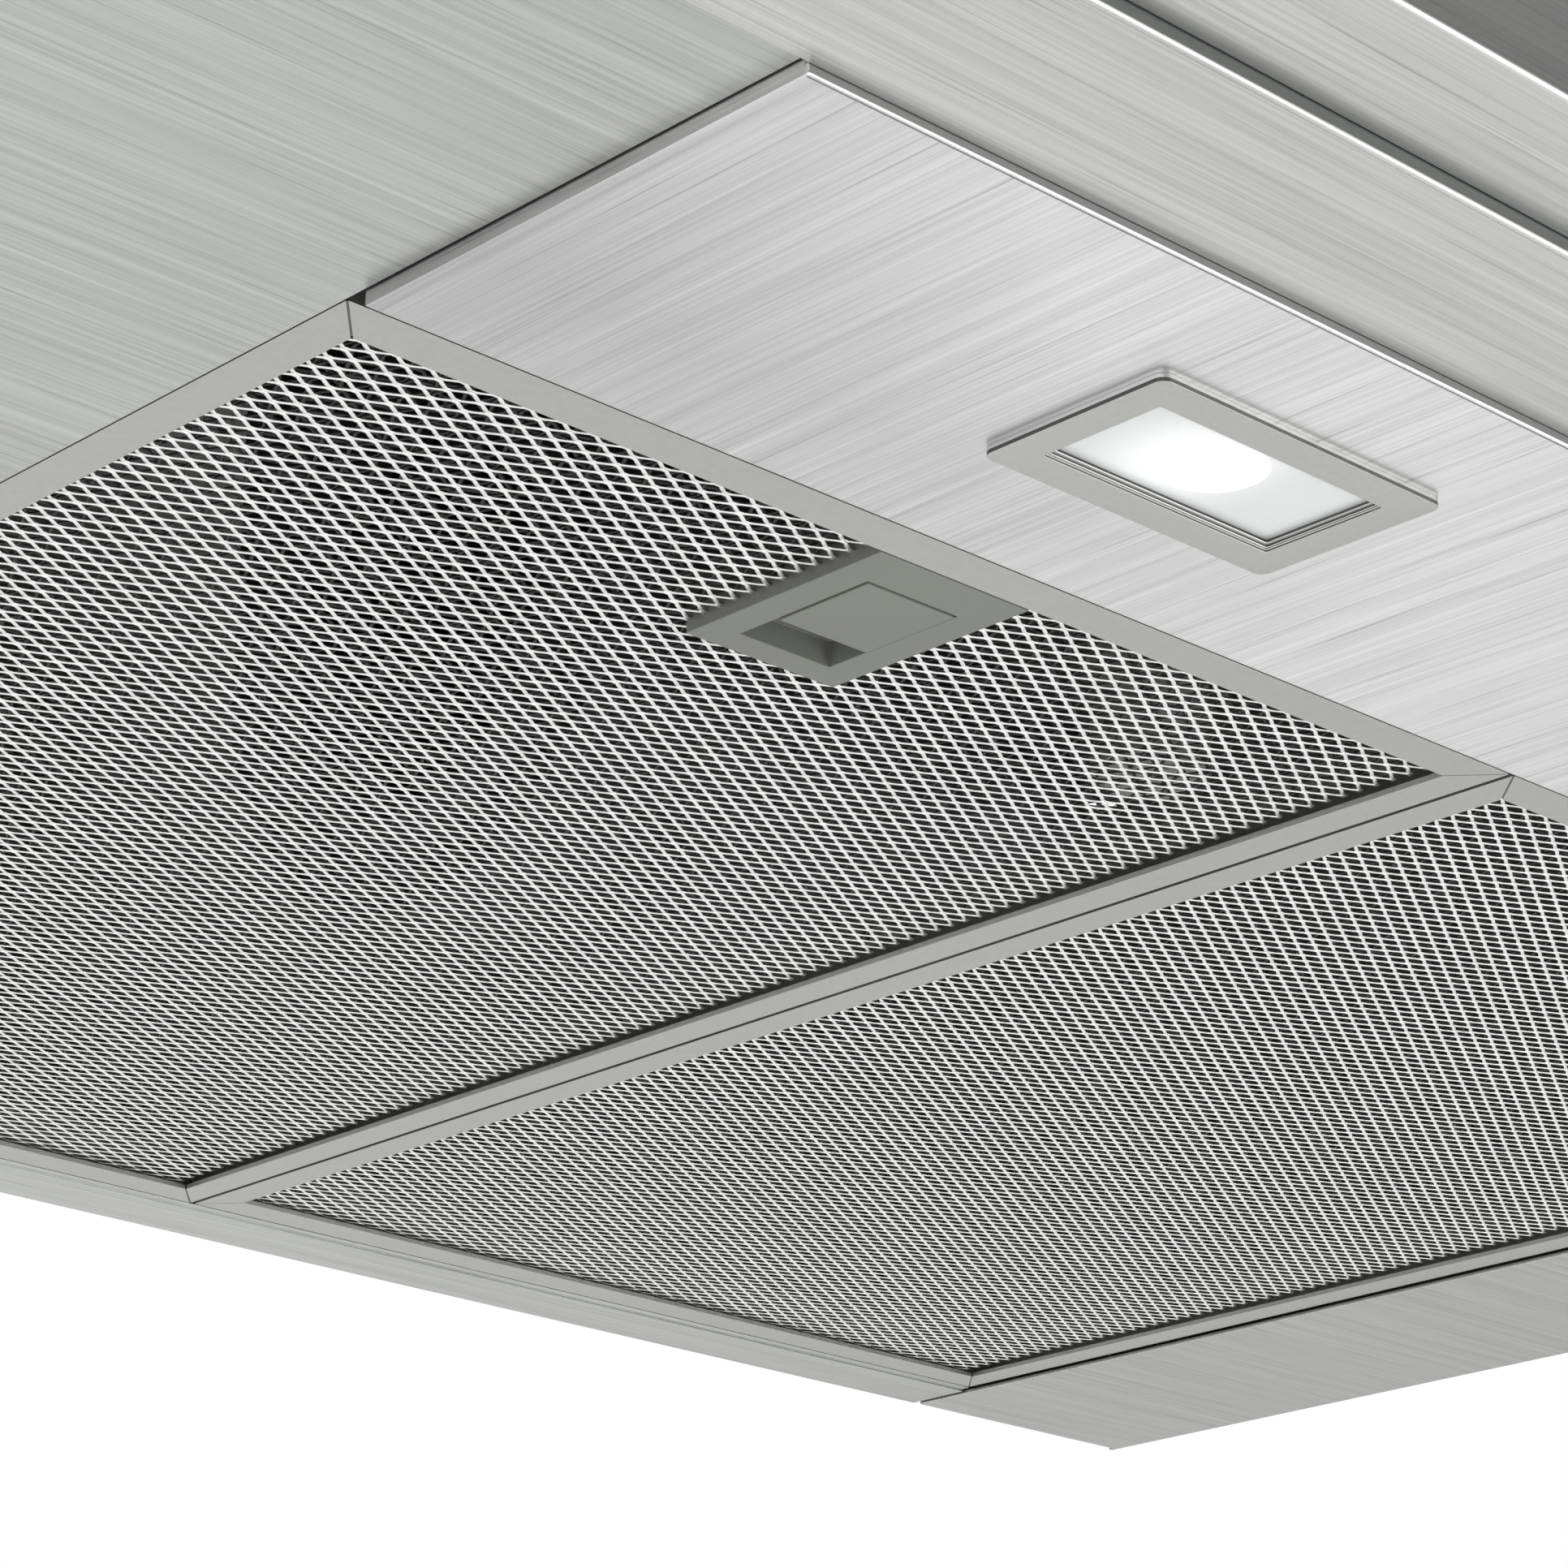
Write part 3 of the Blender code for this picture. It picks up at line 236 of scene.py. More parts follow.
def strand_metal(name, color, metallic, roughness):
    """Cut and stretched aluminium, with faint marks along the cut."""
    material, tree, shader, coords = new_material(name, roughness, metallic)
    long_marks = noise(tree, coords, (140, 140, 900), 2.0, 0.5)
    fine = noise(tree, coords, (2600, 2600, 2600), 1.0, 0.5)
    tone = math_node(
        tree,
        "ADD",
        remap(tree, long_marks, 0.3, 0.7, 0.95, 1.03),
        remap(tree, fine, 0.3, 0.7, -0.03, 0.03),
    )
    tree.links.new(mix_colors(tree, 1.0, rgb(*color), tone, "MULTIPLY"), shader.inputs["Base Color"])
    rough = remap(tree, long_marks, 0.3, 0.7, roughness - 0.04, roughness + 0.06)
    tree.links.new(rough, shader.inputs["Roughness"])
    return material


SPOT_OFFSET = (0.0006, 0.0005)  # the lens's middle, seen from the lit spot's
SPOT_RADIUS = 0.0074
LENS_HALF = (0.0208, 0.0090)
LENS_BORDER = 0.0016


def lit_lens(name, spots):
    """A frosted lens lit from behind: a round bright spot, with a glow on one side of it."""
    material, tree, shader, coords = new_material(name, 0.55, 0.0)
    shader.inputs["Base Color"].default_value = rgb(0.28, 0.29, 0.29)
    grain = noise(tree, coords, (1500, 1500, 1500), 2.0, 0.6)
    glow = None
    for x, y, radius in spots:
        place = add(
            tree,
            "ShaderNodeMapping",
            {"Vector": coords, "Location": (-x, -y, 0.0), "Scale": (1.0, 1.0, 0.0)},
        ).outputs[0]
        length = add(tree, "ShaderNodeVectorMath", {0: place}, operation="LENGTH").outputs["Value"]
        disc = remap(tree, length, radius * 0.96, radius * 1.02, 1.0, 0.0)
        across = add(tree, "ShaderNodeSeparateXYZ", {"Vector": place}).outputs[0]
        near = remap(tree, length, radius, radius * 2.6, 1.0, 0.0)
        side = math_node(
            tree,
            "MULTIPLY",
            remap(tree, across, -0.012, 0.012, 1.0, 0.0),
            remap(tree, length, 0.0, 0.03, 1.0, 0.0),
        )
        soft = math_node(tree, "MULTIPLY", near, side)
        here = math_node(tree, "MAXIMUM", disc, math_node(tree, "MULTIPLY", soft, 0.92))
        glow = here if glow is None else math_node(tree, "MAXIMUM", glow, here)
    light = math_node(tree, "ADD", glow, remap(tree, grain, 0.3, 0.7, -0.015, 0.015))
    # The lens is dimmer near its border, next to the mouldings: painted shade.
    border_shade = None
    for x, y, _ in spots:
        middle = (-x - SPOT_OFFSET[0], -y - SPOT_OFFSET[1], 0.0)
        place = add(tree, "ShaderNodeMapping", {"Vector": coords, "Location": middle})
        parts = add(tree, "ShaderNodeSeparateXYZ", {"Vector": place.outputs[0]}).outputs
        rows = []
        for part, half in zip(parts, LENS_HALF):
            away = add(tree, "ShaderNodeMath", {0: part}, operation="ABSOLUTE").outputs[0]
            rows.append(remap(tree, away, half - LENS_BORDER, half, 1.0, 0.70))
        here = math_node(tree, "MULTIPLY", rows[0], rows[1])
        border_shade = here if border_shade is None else math_node(tree, "MAXIMUM", border_shade, here)
    color = mix_colors(tree, light, rgb(0.97, 1.0, 0.995), rgb(1.0, 1.0, 0.985))
    tree.links.new(color, shader.inputs["Emission Color"])
    strength = math_node(tree, "MULTIPLY", remap(tree, light, 0.0, 1.0, 0.395, 1.0), border_shade)
    tree.links.new(strength, shader.inputs["Emission Strength"])
    bump(tree, shader, grain, 0.10, 0.00005)
    return material


LAMP_BOXES = {side: (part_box(f"lamp_{side}_lens"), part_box(f"lamp_{side}_bezel")) for side, _ in SIDES}
SPOTS = []
for side, _ in SIDES:
    low, high = LAMP_BOXES[side][0]
    middle = (low + high) / 2
    SPOTS.append((middle.x - SPOT_OFFSET[0], middle.y - SPOT_OFFSET[1], SPOT_RADIUS))

STEEL = brushed("steel_grain_x", (0.470, 0.480, 0.468), "X", contrast=1.45)
STRIP_STEEL = brushed("steel_front_strips", (0.545, 0.550, 0.540), "X", contrast=1.45, seed=12.0)
# The lamp panel's steel has painted shade toward its ends and its rear edge.
LAMP_STEEL = brushed("steel_grain_y", (0.68, 0.68, 0.68), "Y", 0.33, 1.35, 31.0, lamp_panel_painted_shade)
FRAME_METAL = satin_metal("satin_aluminium_frame", (0.445, 0.450, 0.428))
BEZEL_METAL = satin_metal("satin_nickel", (0.470, 0.470, 0.456), roughness=0.38)
# Darker copies of the steels and the trim metal, for faces in shade: painted shade.
PAINTED_SHADE_STEEL = satin_metal("painted_shade_steel_flange", (0.150, 0.155, 0.152), roughness=0.45)
PAINTED_SHADE_WALL = satin_metal("painted_shade_lamp_panel_wall", (0.235, 0.238, 0.235), roughness=0.45)
PAINTED_SHADE_METAL = satin_metal("painted_shade_trim_edge", (0.11, 0.11, 0.108), roughness=0.40)
MESH_METAL = strand_metal("expanded_aluminium_outer", (0.83, 0.83, 0.82), 0.80, 0.36)
# The inner layers are the same aluminium as the outer mesh, made almost black: painted shade.
PAINTED_SHADE_INNER_METAL = strand_metal("expanded_aluminium_inner_painted_shade", (0.055, 0.055, 0.054), 0.3, 0.5)
LATCH_PLASTIC = moulded("grey_latch_plastic", (0.150, 0.156, 0.140), 0.48)
LENS = lit_lens("frosted_lit_lens", SPOTS)
WHITE_PLASTIC = moulded("white_moulded_plastic", (0.78, 0.78, 0.74), 0.45, grain=1200, depth=0.02)
BLACK_PLASTIC = moulded("black_moulded_plastic", (0.028, 0.029, 0.030), 0.42, grain=1400, depth=0.12)
IMPELLER_PLASTIC = moulded("impeller_plastic", (0.07, 0.075, 0.085), 0.45, grain=900, depth=0.1)
MOTOR_METAL = satin_metal("motor_casing_metal", (0.13, 0.135, 0.14), roughness=0.48, grain=500)
SPRING_METAL = satin_metal("spring_wire", (0.40, 0.40, 0.40), roughness=0.42, grain=1500)
ZINC = zinc_coated("zinc_coated_sheet")
MATERIAL_OF_SLOT = {
    "brushed_steel": STEEL,
    "lamp_panel_steel": LAMP_STEEL,
    "zinc_coated_steel": ZINC,
    "satin_aluminium": FRAME_METAL,
    "expanded_aluminium": MESH_METAL,
    "grey_plastic": LATCH_PLASTIC,
    "satin_nickel_trim": BEZEL_METAL,
    "frosted_lens": LENS,
    "white_plastic": WHITE_PLASTIC,
    "black_plastic": BLACK_PLASTIC,
    "impeller_plastic": IMPELLER_PLASTIC,
    "motor_casing": MOTOR_METAL,
    "spring_steel": SPRING_METAL,
}
for name, cad in NODES.items():
    for index in range(len(cad.material_slots)):
        cad.material_slots[index].material = MATERIAL_OF_SLOT[SLOT_OF[name]]


# Shapes


def piece_of(name, mesh, *nodes, body=None, material=None):
    """A new piece that stands for CAD nodes, or adds to a body."""
    piece = bpy.data.objects.new(name, mesh)
    bpy.context.scene.collection.objects.link(piece)
    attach(piece, body or BODY_OF[nodes[0]])
    if nodes:
        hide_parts(*nodes)
        material = material or MATERIAL_OF_SLOT[SLOT_OF[nodes[0]]]
    mesh.materials.clear()
    mesh.materials.append(material)
    return piece


def paint(piece, material, test):
    """A second material on the faces whose centre and normal pass a test."""
    piece.data.materials.append(material)
    index = len(piece.data.materials) - 1
    for face in piece.data.polygons:
        if test(face.center, face.normal):
            face.material_index = index


def mesh_of(shape, name, smooth=True, angle=32):
    mesh = bpy.data.meshes.new(name)
    bmesh.ops.recalc_face_normals(shape, faces=shape.faces)
    shape.to_mesh(mesh)
    shape.free()
    if smooth:
        mesh.shade_smooth()
        mesh.set_sharp_from_angle(angle=math.radians(angle))
    return mesh


def baked_mesh(holder, name):
    """The mesh of an object with its modifiers applied. The object is removed."""
    bpy.context.view_layer.update()
    graph = bpy.context.evaluated_depsgraph_get()
    mesh = bpy.data.meshes.new_from_object(holder.evaluated_get(graph))
    mesh.name = name
    bpy.data.objects.remove(holder, do_unlink=True)
    return mesh


def holder_of(mesh):
    holder = bpy.data.objects.new("holder", mesh)
    bpy.context.scene.collection.objects.link(holder)
    return holder


def beveled(mesh, width, segments, name):
    holder = holder_of(mesh)
    ease = holder.modifiers.new("ease", "BEVEL")
    ease.width = width
    ease.segments = segments
    ease.limit_method = "ANGLE"
    ease.angle_limit = math.radians(35)
    ease.harden_normals = True
    ease.use_clamp_overlap = True
    return baked_mesh(holder, name)


def eased(node, width, segments=2):
    """A CAD node's own shape with eased edges."""
    shape = bmesh.new()
    shape.from_mesh(NODES[node].data)
    bmesh.ops.remove_doubles(shape, verts=shape.verts, dist=2e-6)
    bmesh.ops.dissolve_limit(
        shape,
        angle_limit=math.radians(0.6),
        verts=shape.verts,
        edges=shape.edges,
        use_dissolve_boundaries=False,
    )
    mesh = mesh_of(shape, node + "_clean", angle=25)
    mesh = beveled(mesh, width, segments, node + "_eased")
    return piece_of(node + "_shape", mesh, node)


def bent(points, radii, steps=5):
    """A closed outline with each corner rounded by its own radius."""
    outline = []
    count = len(points)
    for index, (point, radius) in enumerate(zip(points, radii)):
        corner = Vector(point)
        if radius <= 0:
            outline.append(corner)
            continue
        before = (Vector(points[index - 1]) - corner).normalized()
        after = (Vector(points[(index + 1) % count]) - corner).normalized()
        half = before.angle(after) / 2
        reach = radius / math.tan(half)
        centre = corner + (before + after).normalized() * (radius / math.sin(half))
        start, end = corner + before * reach - centre, corner + after * reach - centre
        for step in range(steps + 1):
            outline.append(centre + start.slerp(end, step / steps) * radius)
    return outline


def along_x(outline, low, high, name):
    """A closed outline in (Y, Z), drawn out along X."""
    shape = bmesh.new()
    rings = [[shape.verts.new((x, point[0], point[1])) for point in outline] for x in (low, high)]
    shape.faces.new(rings[0])
    shape.faces.new(list(reversed(rings[1])))
    count = len(outline)
    for index in range(count):
        following = (index + 1) % count
        shape.faces.new((rings[0][index], rings[1][index], rings[1][following], rings[0][following]))
    return mesh_of(shape, name)


def rounded_loop(centre, width, depth, radius, z, steps=6):
    """A level rectangle with round corners, as points."""
    loop = []
    for quarter, (sx, sy) in enumerate(((1, 1), (-1, 1), (-1, -1), (1, -1))):
        x = centre[0] + sx * (width / 2 - radius)
        y = centre[1] + sy * (depth / 2 - radius)
        middle = Vector((x, y, z))
        for step in range(steps + 1):
            angle = math.radians(90 * (quarter + step / steps))
            loop.append(middle + Vector((math.cos(angle), math.sin(angle), 0.0)) * radius)
    return loop


def lofted(loops, name, closed=True, caps=False, angle=32):
    """Faces between loops that have the same number of points."""
    shape = bmesh.new()
    rings = [[shape.verts.new(point) for point in loop] for loop in loops]
    pairs = list(zip(rings, rings[1:]))
    if closed:
        pairs.append((rings[-1], rings[0]))
    for first, second in pairs:
        count = len(first)
        for index in range(count):
            following = (index + 1) % count
            shape.faces.new((first[index], first[following], second[following], second[index]))
    if caps:
        shape.faces.new(list(reversed(rings[0])))
        shape.faces.new(rings[-1])
    return mesh_of(shape, name, angle=angle)


def carved(mesh, boxes, name):
    """A mesh with boxes cut out of it."""
    holder = holder_of(mesh)
    tools = []
    for low, high in boxes:
        shape = bmesh.new()
        low, high = Vector(low), Vector(high)
        place = Matrix.Translation((low + high) / 2) @ Matrix.Diagonal((*(high - low), 1.0))
        bmesh.ops.create_cube(shape, size=1.0, matrix=place)
        tool = holder_of(mesh_of(shape, "tool", smooth=False))
        change = holder.modifiers.new("cut", "BOOLEAN")
        change.operation = "DIFFERENCE"
        change.solver = "EXACT"
        change.object = tool
        tools.append(tool)
    made = baked_mesh(holder, name)
    for tool in tools:
        bpy.data.objects.remove(tool, do_unlink=True)
    return made


# Sheet metal

# Both strips are lower than in the CAD, because the photo's steps beside them are lower.
STRIP_DROP = 0.52 * MM
RETURN_DROP = 0.70 * MM
sheet = 1.0 * MM
seam = 0.27 * MM
lip = 0.76 * MM
crease = 0.10 * MM

# The strip's front edge rolls up behind a fine crease, into a flange whose front faces are painted
# darker, as painted shade.
low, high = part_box("front_rail")
rail_end = high.x
strip_level = low.z - STRIP_DROP
rail_outline = bent(
    [
        (low.y, strip_level + crease),
        (low.y + lip + 0.02 * MM, strip_level + crease),
        (low.y + lip + 0.06 * MM, strip_level),
        (high.y + seam, strip_level),
        (high.y + seam, strip_level + sheet),
        (low.y + sheet, strip_level + sheet),
        (low.y + sheet, high.z),
        (low.y, high.z),
    ],
    [lip, 0, 0, 0.2 * MM, 0.2 * MM, 0.1 * MM, 0.2 * MM, 0.2 * MM],
)
strip_mesh = along_x(rail_outline, low.x, high.x, "front_rail_strip")
strip = piece_of("front_rail_strip", strip_mesh, "front_rail", material=STRIP_STEEL)
# The flange's front faces take a darker steel: painted shade.
paint(strip, PAINTED_SHADE_STEEL, lambda centre, normal: normal.y < -0.93)

low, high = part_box("front_fascia")
plate_low, plate_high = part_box("control_plate")
return_level = low.z - RETURN_DROP
fascia_outline = bent(
    [
        (low.y, return_level),
        (high.y + seam, return_level),
        (high.y + seam, return_level + sheet),
        (low.y + sheet, return_level + sheet),
        (low.y + sheet, high.z),
        (low.y, high.z),
    ],
    [1.0 * MM, 0.3 * MM, 0.3 * MM, 0.05 * MM, 0.3 * MM, 0.3 * MM],
)
window = 0.3 * MM
fascia_cuts = [
    (
        (plate_low.x - window, low.y - sheet, plate_low.z - window),
        (plate_high.x + window, low.y + 3 * sheet, plate_high.z + window),
    )
]
for _, sign in SIDES:
    x_low, x_high = sorted((sign * rail_end, sign * (high.x + 5 * MM)))
    fascia_cuts.append(
        ((x_low, low.y + sheet, return_level - sheet), (x_high, high.y + sheet, low.z + 3 * sheet))
    )
fascia = carved(
    along_x(fascia_outline, low.x, high.x, "front_fascia_bent"), fascia_cuts, "front_fascia_bent"
)
fascia.shade_smooth()
fascia.set_sharp_from_angle(angle=math.radians(30))
piece_of("front_fascia_sheet", fascia, "front_fascia", material=STRIP_STEEL)

for name in ("top_deck", "rear_shell", "side_shell_left", "side_shell_right", "slope_panel"):
    eased(name, 0.25 * MM)
eased("keeper_rail", 0.2 * MM)


def tray_loop(low, high, corner, front, ends, rear):
    """A loop round the tray. Its front, ends and rear each have an inset and a level."""
    loop = []
    radius = corner - ends[0]
    for quarter, (sx, sy) in enumerate(((1, 1), (-1, 1), (-1, -1), (1, -1))):
        x = high.x - ends[0] - radius if sx > 0 else low.x + ends[0] + radius
        y = high.y - rear[0] - radius if sy > 0 else low.y + front[0] + radius
        for step in range(7):
            angle = math.radians(90 * (quarter + step / 6))
            share = math.sin(angle) ** 2
            level = rear[1] if sy > 0 else front[1]
            z = ends[1] + (level - ends[1]) * share
            loop.append(Vector((x + radius * math.cos(angle), y + radius * math.sin(angle), z)))
    return loop


def lamp_tray():
    """The lamp panel: a flat face, a front edge rolled behind a fine crease, and low walls."""
    low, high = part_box("lamp_panel")
    corner = 0.6 * MM
    roll, ease, rear_roll, crease = 0.42 * MM, 0.10 * MM, 0.70 * MM, 0.16 * MM
    inner = 0.35 * MM
    profile = [[(inner, low.z + sheet)] * 3, [(inner, high.z)] * 3, [(0.0, high.z)] * 3]
    steps = 6
    for index in range(steps + 1):
        angle = math.radians(90 * index / steps)
        rise, reach = 1 - math.sin(angle), 1 - math.cos(angle)
        profile.append(
            [
                (roll * reach, low.z + crease + roll * rise),
                (ease * reach, low.z + ease * rise),
                (rear_roll * reach, low.z + rear_roll * rise),
            ]
        )
    profile.append([(roll + 0.02 * MM, low.z + crease), (0.2 * MM, low.z), (0.75 * MM, low.z)])
    profile.append([(roll + 0.06 * MM, low.z), (0.3 * MM, low.z), (0.85 * MM, low.z)])
    loops = [tray_loop(low, high, corner, *sides) for sides in profile]
    tray = lofted(loops, "lamp_tray", closed=False, caps=True)
    cuts = []
    for side, _ in SIDES:
        box_low, box_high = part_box(f"lamp_{side}_housing")
        room = 0.3 * MM
        cuts.append(
            (
                (box_low.x - room, box_low.y - room, low.z - sheet),
                (box_high.x + room, box_high.y + room, high.z + sheet),
            )
        )
    tray = carved(tray, cuts, "lamp_tray")
    tray.shade_smooth()
    tray.set_sharp_from_angle(angle=math.radians(30))
    piece = piece_of("lamp_panel_tray", tray, "lamp_panel")
    front = low.y + 1 * MM
    # The tray's front wall takes a darker steel: painted shade.
    paint(piece, PAINTED_SHADE_WALL, lambda centre, normal: normal.y < -0.93 and centre.y < front)


lamp_tray()


# Lamps


WINDOW = 5.7 * MM
# Each loop of the mouldings: its inset from the window's edge and its rise from the face, in mm.
MOULDINGS = (
    (-0.12, 0.0),
    (0.0, 0.10),
    (0.0, 0.30),
    (0.16, 0.42),
    (0.42, 0.42),
    (0.50, 0.52),
    (0.50, 0.72),
    (0.92, 0.78),
    (1.0, 0.88),
)


def lamp_trim(side):
    """The bezel: a flat rim with an eased outer edge, and stepped mouldings down to the lens."""
    low, high = LAMP_BOXES[side][1]
    centre = ((low.x + high.x) / 2, (low.y + high.y) / 2)
    width, depth = high.x - low.x, high.y - low.y
    box_low, box_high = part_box(f"lamp_{side}_housing")
    corner, tight = 1.7 * MM, 0.3 * MM
    edge = 0.12 * MM
    face, foot, seat = low.z, low.z + 0.60 * MM, low.z + 1.18 * MM
    loops = []
    collar = ((box_high.x - box_low.x) / 2, (box_high.y - box_low.y) / 2)
    inset_x, inset_y = width / 2 - collar[0], depth / 2 - collar[1]

    def rim(inset, z):
        """A loop at an inset from the bezel's outer edge."""
        radius = max(tight, corner - inset)
        loops.append(rounded_loop(centre, width - 2 * inset, depth - 2 * inset, radius, z))

    for z in (high.z, seat):
        loops.append(rounded_loop(centre, width - 2 * inset_x, depth - 2 * inset_y, tight, z))
    rim(0.0, seat)
    rim(0.0, foot)
    steps = 5
    for index in range(steps + 1):
        angle = math.radians(90 * index / steps)
        rim(edge * (1 - math.cos(angle)), face + edge * (1 - math.sin(angle)))
    for inset, rise in MOULDINGS:
        rim(WINDOW + inset * MM, face + rise * MM)
    rim(WINDOW + MOULDINGS[-1][0] * MM, high.z)
    trim = lofted(loops, f"lamp_{side}_trim", angle=28)
    piece = piece_of(f"lamp_{side}_trim", trim, f"lamp_{side}_bezel")
    reach = Vector((width / 2 - WINDOW + 0.5 * MM, depth / 2 - WINDOW + 0.5 * MM))

    def outside(point):
        return abs(point.x - centre[0]) > reach.x or abs(point.y - centre[1]) > reach.y

    def outer_foot(point, normal):
        return outside(point) and abs(normal.z) < 0.3 and normal.y > -0.7 and point.z > foot

    def painted_shade_faces(point, normal):
        return abs(normal.z) < 0.5 and (point.z < foot or not outside(point))

    # The foot has the lamp panel's own tone at the sides, so that the bezel looks lower.
    paint(piece, LAMP_STEEL, outer_foot)
    # The outer side next to the face and the mouldings' upright faces take a dark metal: painted shade.
    paint(piece, PAINTED_SHADE_METAL, painted_shade_faces)


for side, _ in SIDES:
    lamp_trim(side)
    eased(f"lamp_{side}_housing", 0.3 * MM)


# Grease filters


def tubes(strands, sides, name):
    """Tubes with a flat map. Each point of a strand is x, y, z, half width and half height."""
    paths, wide, tall = strands[..., :3], strands[..., 3, None, None], strands[..., 4, None, None]
    count, length = paths.shape[0], paths.shape[1]
    ahead = np.empty_like(paths)
    ahead[:, 1:-1] = paths[:, 2:] - paths[:, :-2]
    ahead[:, 0] = paths[:, 1] - paths[:, 0]
    ahead[:, -1] = paths[:, -1] - paths[:, -2]
    ahead /= np.linalg.norm(ahead, axis=2, keepdims=True)
    up = np.zeros_like(ahead)
    up[..., 2] = 1.0
    across = np.cross(up, ahead)
    across /= np.linalg.norm(across, axis=2, keepdims=True)
    angles = 2 * np.pi * (np.arange(sides) + 0.5) / sides
    ring = (
        paths[:, :, None, :]
        + wide * np.cos(angles)[None, None, :, None] * across[:, :, None, :]
        + tall * np.sin(angles)[None, None, :, None] * up[:, :, None, :]
    )
    points = ring.reshape(-1, 3)
    base = (
        np.arange(count)[:, None, None] * length * sides
        + np.arange(length - 1)[None, :, None] * sides
        + np.arange(sides)[None, None, :]
    )
    turn = (np.arange(sides) + 1) % sides
    following = (
        np.arange(count)[:, None, None] * length * sides
        + np.arange(length - 1)[None, :, None] * sides
        + turn[None, None, :]
    )
    quads = np.stack((base, base + sides, following + sides, following), axis=-1).reshape(-1, 4)
    starts = np.arange(count)[:, None] * length * sides + np.arange(sides)[None, :]
    ends = starts + (length - 1) * sides
    mesh = bpy.data.meshes.new(name)
    corner_total = quads.size + starts.size + ends.size
    mesh.vertices.add(len(points))
    mesh.vertices.foreach_set("co", points.astype(np.float32).ravel())
    mesh.loops.add(corner_total)
    corners = np.concatenate((quads.ravel(), starts.ravel(), ends[:, ::-1].ravel()))
    mesh.loops.foreach_set("vertex_index", corners.astype(np.int32))
    mesh.polygons.add(len(quads) + 2 * count)
    sizes = np.concatenate((np.full(len(quads), 4), np.full(2 * count, sides)))
    loop_starts = np.concatenate(([0], np.cumsum(sizes)[:-1]))
    mesh.polygons.foreach_set("loop_start", loop_starts.astype(np.int32))
    mesh.update(calc_edges=True)
    mesh.validate()
    layer = mesh.uv_layers.new(name="OFBake")
    low, span = points.min(0), max(np.ptp(points[:, 0]), np.ptp(points[:, 1]))
    flat = (points[corners][:, :2] - low[:2]) / span
    layer.data.foreach_set("uv", flat.astype(np.float32).ravel())
    mesh.shade_smooth()
    return mesh


def zigzag(low, high, z, cell, section, bond, phase=0.0, swap=False):
    """Rows of zigzag strands that meet at bonds, as in expanded metal.

    A cell is its long way, along X or along Y if swapped, and its short way. A section gives the
    strand's half width and half height at a bond, on a rising run and on a falling run.
    """
    if swap:
        low, high = Vector((low.y, low.x, 0)), Vector((high.y, high.x, 0))
    long_way, short_way = cell
    at_bond, rising, falling = section
    cells = int((high.x - low.x) / long_way)
    rows = int((high.y - low.y) / (short_way / 2))
    reach = short_way / 4 - at_bond[0] * 0.55
    columns = []
    for index in range(2 * cells + 1):
        middle = low.x + index * long_way / 2
        swing = 1 if index % 2 else -1
        for offset in (-bond / 2, bond / 2):
            columns.append((min(max(middle + offset, low.x), high.x), swing, 0))
        if rising != at_bond and index < 2 * cells:
            columns.append((middle + long_way / 4, 0, -swing))
    columns = np.array(columns)
    columns = columns[np.concatenate(([True], np.diff(columns[:, 0]) > 1e-7))]
    strands = np.zeros((rows, len(columns), 5))
    sizes = np.array((falling, at_bond, rising))
    for row in range(rows):
        turn = 1 if row % 2 else -1
        strands[row, :, 0] = columns[:, 0]
        strands[row, :, 1] = low.y + (row + 0.5) * short_way / 2 + reach * turn * columns[:, 1]
        strands[row, :, 2] = z + phase * turn * columns[:, 1]
        strands[row, :, 3:] = sizes[(columns[:, 2] * turn).astype(int) + 1]
    if swap:
        strands = strands[:, :, [1, 0, 2, 3, 4]]
    return strands


def joined(meshes, name):
    shape = bmesh.new()
    for mesh in meshes:
        shape.from_mesh(mesh)
        bpy.data.meshes.remove(mesh)
    made = bpy.data.meshes.new(name)
    shape.to_mesh(made)
    shape.free()
    made.shade_smooth()
    return made


CELL = (5.54 * MM, 3.31 * MM)
BOND = 0.95 * MM
SECTION = ((0.38 * MM, 0.13 * MM), (0.46 * MM, 0.11 * MM), (0.28 * MM, 0.14 * MM))
INNER_SECTION = ((0.36 * MM, 0.22 * MM),) * 3


def notched(strands, low, high):
    """The strands in groups of equal length, cut off at a notch between two corners."""

    def holds(point):
        return low.x < point[0] < high.x and low.y < point[1] < high.y

    def edge(outer, inner):
        """The last point before the notch on the way from one point to the next."""
        for _ in range(12):
            middle = (outer + inner) / 2
            outer, inner = (outer, middle) if holds(middle) else (middle, inner)
        return outer

    groups = {}
    for strand in strands:
        inside = [holds(point) for point in strand]
        run = []
        for index, point in enumerate(strand):
            if not inside[index]:
                if index and inside[index - 1]:
                    run.append(edge(point, strand[index - 1]))
                run.append(point)
            elif run:
                run.append(edge(strand[index - 1], point))
            if run and (inside[index] or index == len(strand) - 1):
                if len(run) > 1:
                    groups.setdefault(len(run), []).append(run)
                run = []
    return [np.array(group) for group in groups.values()]


